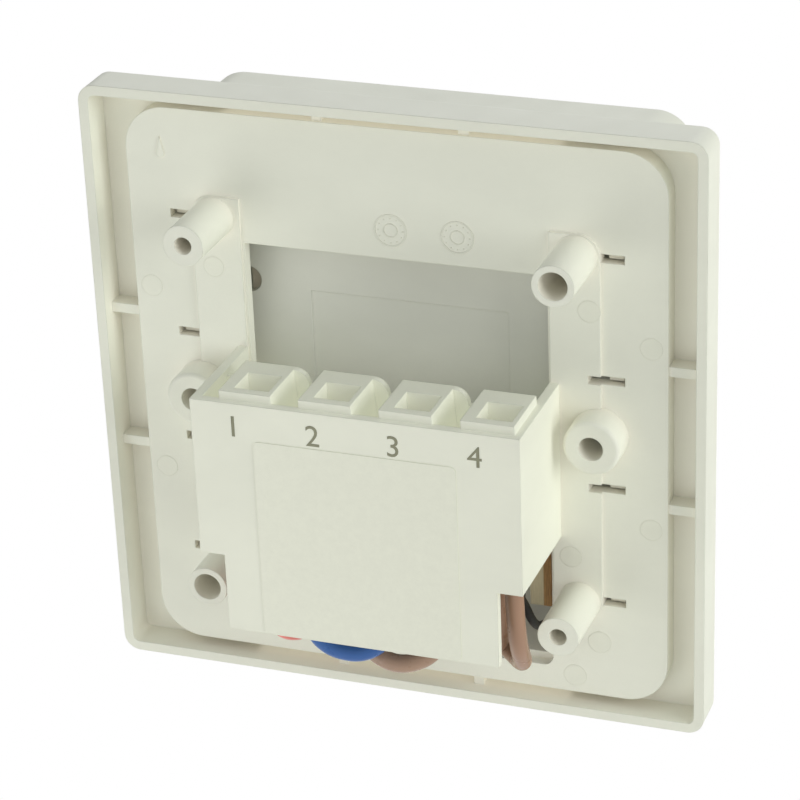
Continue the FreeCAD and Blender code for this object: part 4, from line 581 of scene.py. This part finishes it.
def gate_mark():
    """A round drop with a pointed upper end."""
    shape = bmesh.new()
    drop = circle_points(*GATE_PLACE, GATE_RADIUS, DROP_STEPS, *GATE_ARC) + [GATE_TIP]
    outline_prism(shape, drop, DECK_REAR, DECK_REAR + GATE_RISE)
    from_bmesh("deck_gate_mark", shape, MARK, "housing")


def cell_numbers():
    """Plain numbers 1 to 4 under the wells of the terminal box."""
    for index in range(CELL_COUNT):
        x = CELL_FIRST - index * CELL_PITCH + CELL_NUMBER_SHIFT
        words(f"cell_number_{index + 1}", str(index + 1), CELL_NUMBER_SIZE,
              (x, BOX_REAR + PRINT_RISE / 2, CELL_NUMBER_Z), REAR_FACING, INK_GREY, "housing")


def dial_hours():
    """Every second hour on the dial's band."""
    for hour in range(0, 24, 2):
        turn = (hour - 12) * HOUR_TURN
        x, z = polar(HOUR_CIRCLE, READING_ANGLE + turn)
        words(f"dial_hour_{hour:02d}", str(hour), HOUR_SIZE, (x, BAND_FRONT - PRINT_RISE / 2, z),
              FRONT_FACING, INK_BLACK, "dial_unit", turn=turn)


def dial_ticks():
    """Ticks for each quarter of an hour, longer at the half hour and the hour."""
    shape = bmesh.new()
    for step in range(TICK_COUNT):
        length, wide = TICK_SIZES[step % len(TICK_SIZES)]
        degrees = READING_ANGLE + step * 360 / TICK_COUNT
        aside_x, aside_z = polar(wide, degrees + 90)
        outer_x, outer_z = polar(TICK_OUTER, degrees)
        inner_x, inner_z = polar(TICK_OUTER - length, degrees)
        corners = [(outer_x + aside_x, outer_z + aside_z), (inner_x + aside_x, inner_z + aside_z),
                   (inner_x - aside_x, inner_z - aside_z), (outer_x - aside_x, outer_z - aside_z)]
        outline_prism(shape, corners, BAND_FRONT, BAND_FRONT - PRINT_RISE)
    from_bmesh("dial_ticks", shape, INK_BLACK, "dial_unit")


def turning_arrows():
    """Curved arrows for the way that the dial turns."""
    shape = bmesh.new()
    for start in ARROW_STARTS:
        inner, outer = (circle_points(0, 0, radius, ARROW_STEPS, start, ARROW_SWEEP)
                        for radius in ARROW_BAND)
        for index in range(ARROW_STEPS):
            quad = [inner[index], outer[index], outer[index + 1], inner[index + 1]]
            outline_prism(shape, quad, BAND_FRONT, BAND_FRONT - PRINT_RISE)
        tip = polar(ARROW_TIP_RADIUS, start - ARROW_TIP_LEAD)
        head = [tip] + [polar(radius, start) for radius in ARROW_HEAD]
        outline_prism(shape, head, BAND_FRONT, BAND_FRONT - PRINT_RISE)
    from_bmesh("dial_turning_arrows", shape, INK_BLACK, "dial_unit")


def knob_index():
    """Index line on the knob's face."""
    shape = bmesh.new()
    line = rectangle_points(-INDEX_HALF_WIDTH, INDEX_HALF_WIDTH, *INDEX_REACH)
    outline_prism(shape, line, KNOB_FRONT, KNOB_FRONT - PRINT_RISE)
    from_bmesh("knob_index_line", shape, INK_RED, "dial_unit")


def fascia_marks():
    """Reading mark under the dial, and plain signs for the slide's three places."""
    top = FASCIA_FRONT - PRINT_RISE
    shape = bmesh.new()
    outline_prism(shape, READING_MARK, FASCIA_FRONT, top)
    from_bmesh("reading_mark", shape, INK_RED, "housing")
    for name, sign, x in (("slide_on_mark", "I", SLIDE_TRAVEL), ("slide_off_mark", "O", -SLIDE_TRAVEL)):
        words(name, sign, SIGN_SIZE, (x, FASCIA_FRONT - PRINT_RISE / 2, SIGN_Z), FRONT_FACING, INK_BLACK,
              "housing")
    shape = bmesh.new()
    ring_prism(shape, 0, SIGN_Z, CLOCK_RING, top, FASCIA_FRONT)
    for left, right, low, high in CLOCK_HANDS:
        hand = rectangle_points(left, right, SIGN_Z + low, SIGN_Z + high)
        outline_prism(shape, hand, FASCIA_FRONT, top)
    from_bmesh("slide_timer_mark", shape, INK_BLACK, "housing")


for make_marks in (pin_marks, date_rings, gate_mark, cell_numbers, dial_hours, dial_ticks, turning_arrows,
                   knob_index, fascia_marks):
    make_marks()

# Camera: a pinhole fitted to the photograph, in pixels and metres.
PICTURE = 800
FOCAL_PIXELS = 3084.7
PRINCIPAL = (479.56, 451.87)
CAMERA_PLACE = Vector((-0.141126, 0.37246, 0.193995))
RIGHT = Vector((-0.94901, -0.31429, -0.02444))
DOWN = Vector((-0.12063, 0.43367, -0.89296))
AHEAD = Vector((0.29125, -0.84448, -0.44947))
SENSOR_WIDTH = 36
CLIP_START = 0.01


def add_camera():
    data = bpy.data.cameras.new("camera")
    data.sensor_width = SENSOR_WIDTH
    data.lens = FOCAL_PIXELS * SENSOR_WIDTH / PICTURE
    data.shift_x = (PICTURE / 2 - PRINCIPAL[0]) / PICTURE
    data.shift_y = (PRINCIPAL[1] - PICTURE / 2) / PICTURE
    data.clip_start = CLIP_START
    camera = bpy.data.objects.new("camera", data)
    bpy.context.scene.collection.objects.link(camera)
    turn = Matrix((RIGHT, -DOWN, -AHEAD)).transposed()
    camera.matrix_world = Matrix.Translation(CAMERA_PLACE) @ turn.to_4x4()
    bpy.context.scene.camera = camera


# Studio: a wide floor under the part, in metres.
FLOOR_REACH = 1.6
FLOOR_LEVEL = -0.26
FLOOR_COLOUR = srgb(236, 234, 228)

# Strength of the white that the camera sees, and of the light from all round.
WHITE = 1.0
AMBIENT = 0.52
KEY_COLOUR = (1.0, 0.995, 0.97)
FILL_COLOUR = (1.0, 0.99, 0.96)


def white_ground(name, colour):
    """Diffuse ground that shows plain white to the camera, to gloss and through clear pieces."""
    material = bpy.data.materials.new(name)
    material.use_nodes = True
    graph = Graph(material.node_tree)
    graph.tree.nodes.clear()
    path = graph.node("ShaderNodeLightPath").outputs
    direct = graph.arithmetic("MAXIMUM", path["Is Camera Ray"], path["Is Glossy Ray"])
    seen = graph.arithmetic("MAXIMUM", direct, path["Is Transmission Ray"])
    diffuse = graph.node("ShaderNodeBsdfDiffuse")
    graph.feed(diffuse.inputs["Color"], colour)
    glow = graph.node("ShaderNodeEmission")
    graph.feed(glow.inputs["Strength"], WHITE)
    both = graph.node("ShaderNodeMixShader")
    for socket, value in zip(both.inputs, (seen, diffuse.outputs["BSDF"], glow.outputs["Emission"])):
        graph.feed(socket, value)
    out = graph.node("ShaderNodeOutputMaterial")
    graph.feed(out.inputs["Surface"], both.outputs["Shader"])
    return material


def add_floor():
    shape = bmesh.new()
    corners = rectangle_points(-FLOOR_REACH, FLOOR_REACH, -FLOOR_REACH, FLOOR_REACH)
    shape.faces.new([shape.verts.new((x, y, FLOOR_LEVEL)) for x, y in corners])
    mesh = bpy.data.meshes.new("floor")
    shape.to_mesh(mesh)
    shape.free()
    floor = bpy.data.objects.new("floor", mesh)
    bpy.context.scene.collection.objects.link(floor)
    mesh.materials.append(white_ground("floor_white", FLOOR_COLOUR))


def add_world():
    """Pure white to the camera, and a softer light on the part."""
    world = bpy.data.worlds.new("studio")
    bpy.context.scene.world = world
    world.use_nodes = True
    graph = Graph(world.node_tree)
    background = graph.tree.nodes["Background"]
    seen = graph.node("ShaderNodeLightPath").outputs["Is Camera Ray"]
    graph.feed(background.inputs["Strength"], graph.remap(seen, target=(AMBIENT, WHITE)))
    graph.feed(background.inputs["Color"], (1, 1, 1, 1))


def lamp(name, place, size, power, target=(0, 0, 0), colour=(1, 1, 1)):
    """Round area light at a place in metres, turned to its target."""
    data = bpy.data.lights.new(name, "AREA")
    data.shape = "DISK"
    data.size = size
    data.energy = power
    data.color = colour
    light = bpy.data.objects.new(name, data)
    bpy.context.scene.collection.objects.link(light)
    light.location = Vector(place)
    light.rotation_mode = "QUATERNION"
    light.rotation_quaternion = (Vector(target) - Vector(place)).to_track_quat("-Z", "Y")


add_camera()
add_floor()
add_world()
lamp("key", (-0.88, 0.24, 0.26), size=0.7, power=4.9, colour=KEY_COLOUR)
lamp("fill_rear", (0.10, 0.95, 0.15), size=0.8, power=0.25, colour=FILL_COLOUR)
lamp("fill_low", (0.22, 0.23, -0.15), size=0.3, power=0.38, target=(0.02, 0, -0.01), colour=FILL_COLOUR)
lamp("fill_front", (0.25, -0.95, 0.45), size=0.8, power=2.4)

scene = bpy.context.scene
scene.view_settings.view_transform = "Standard"
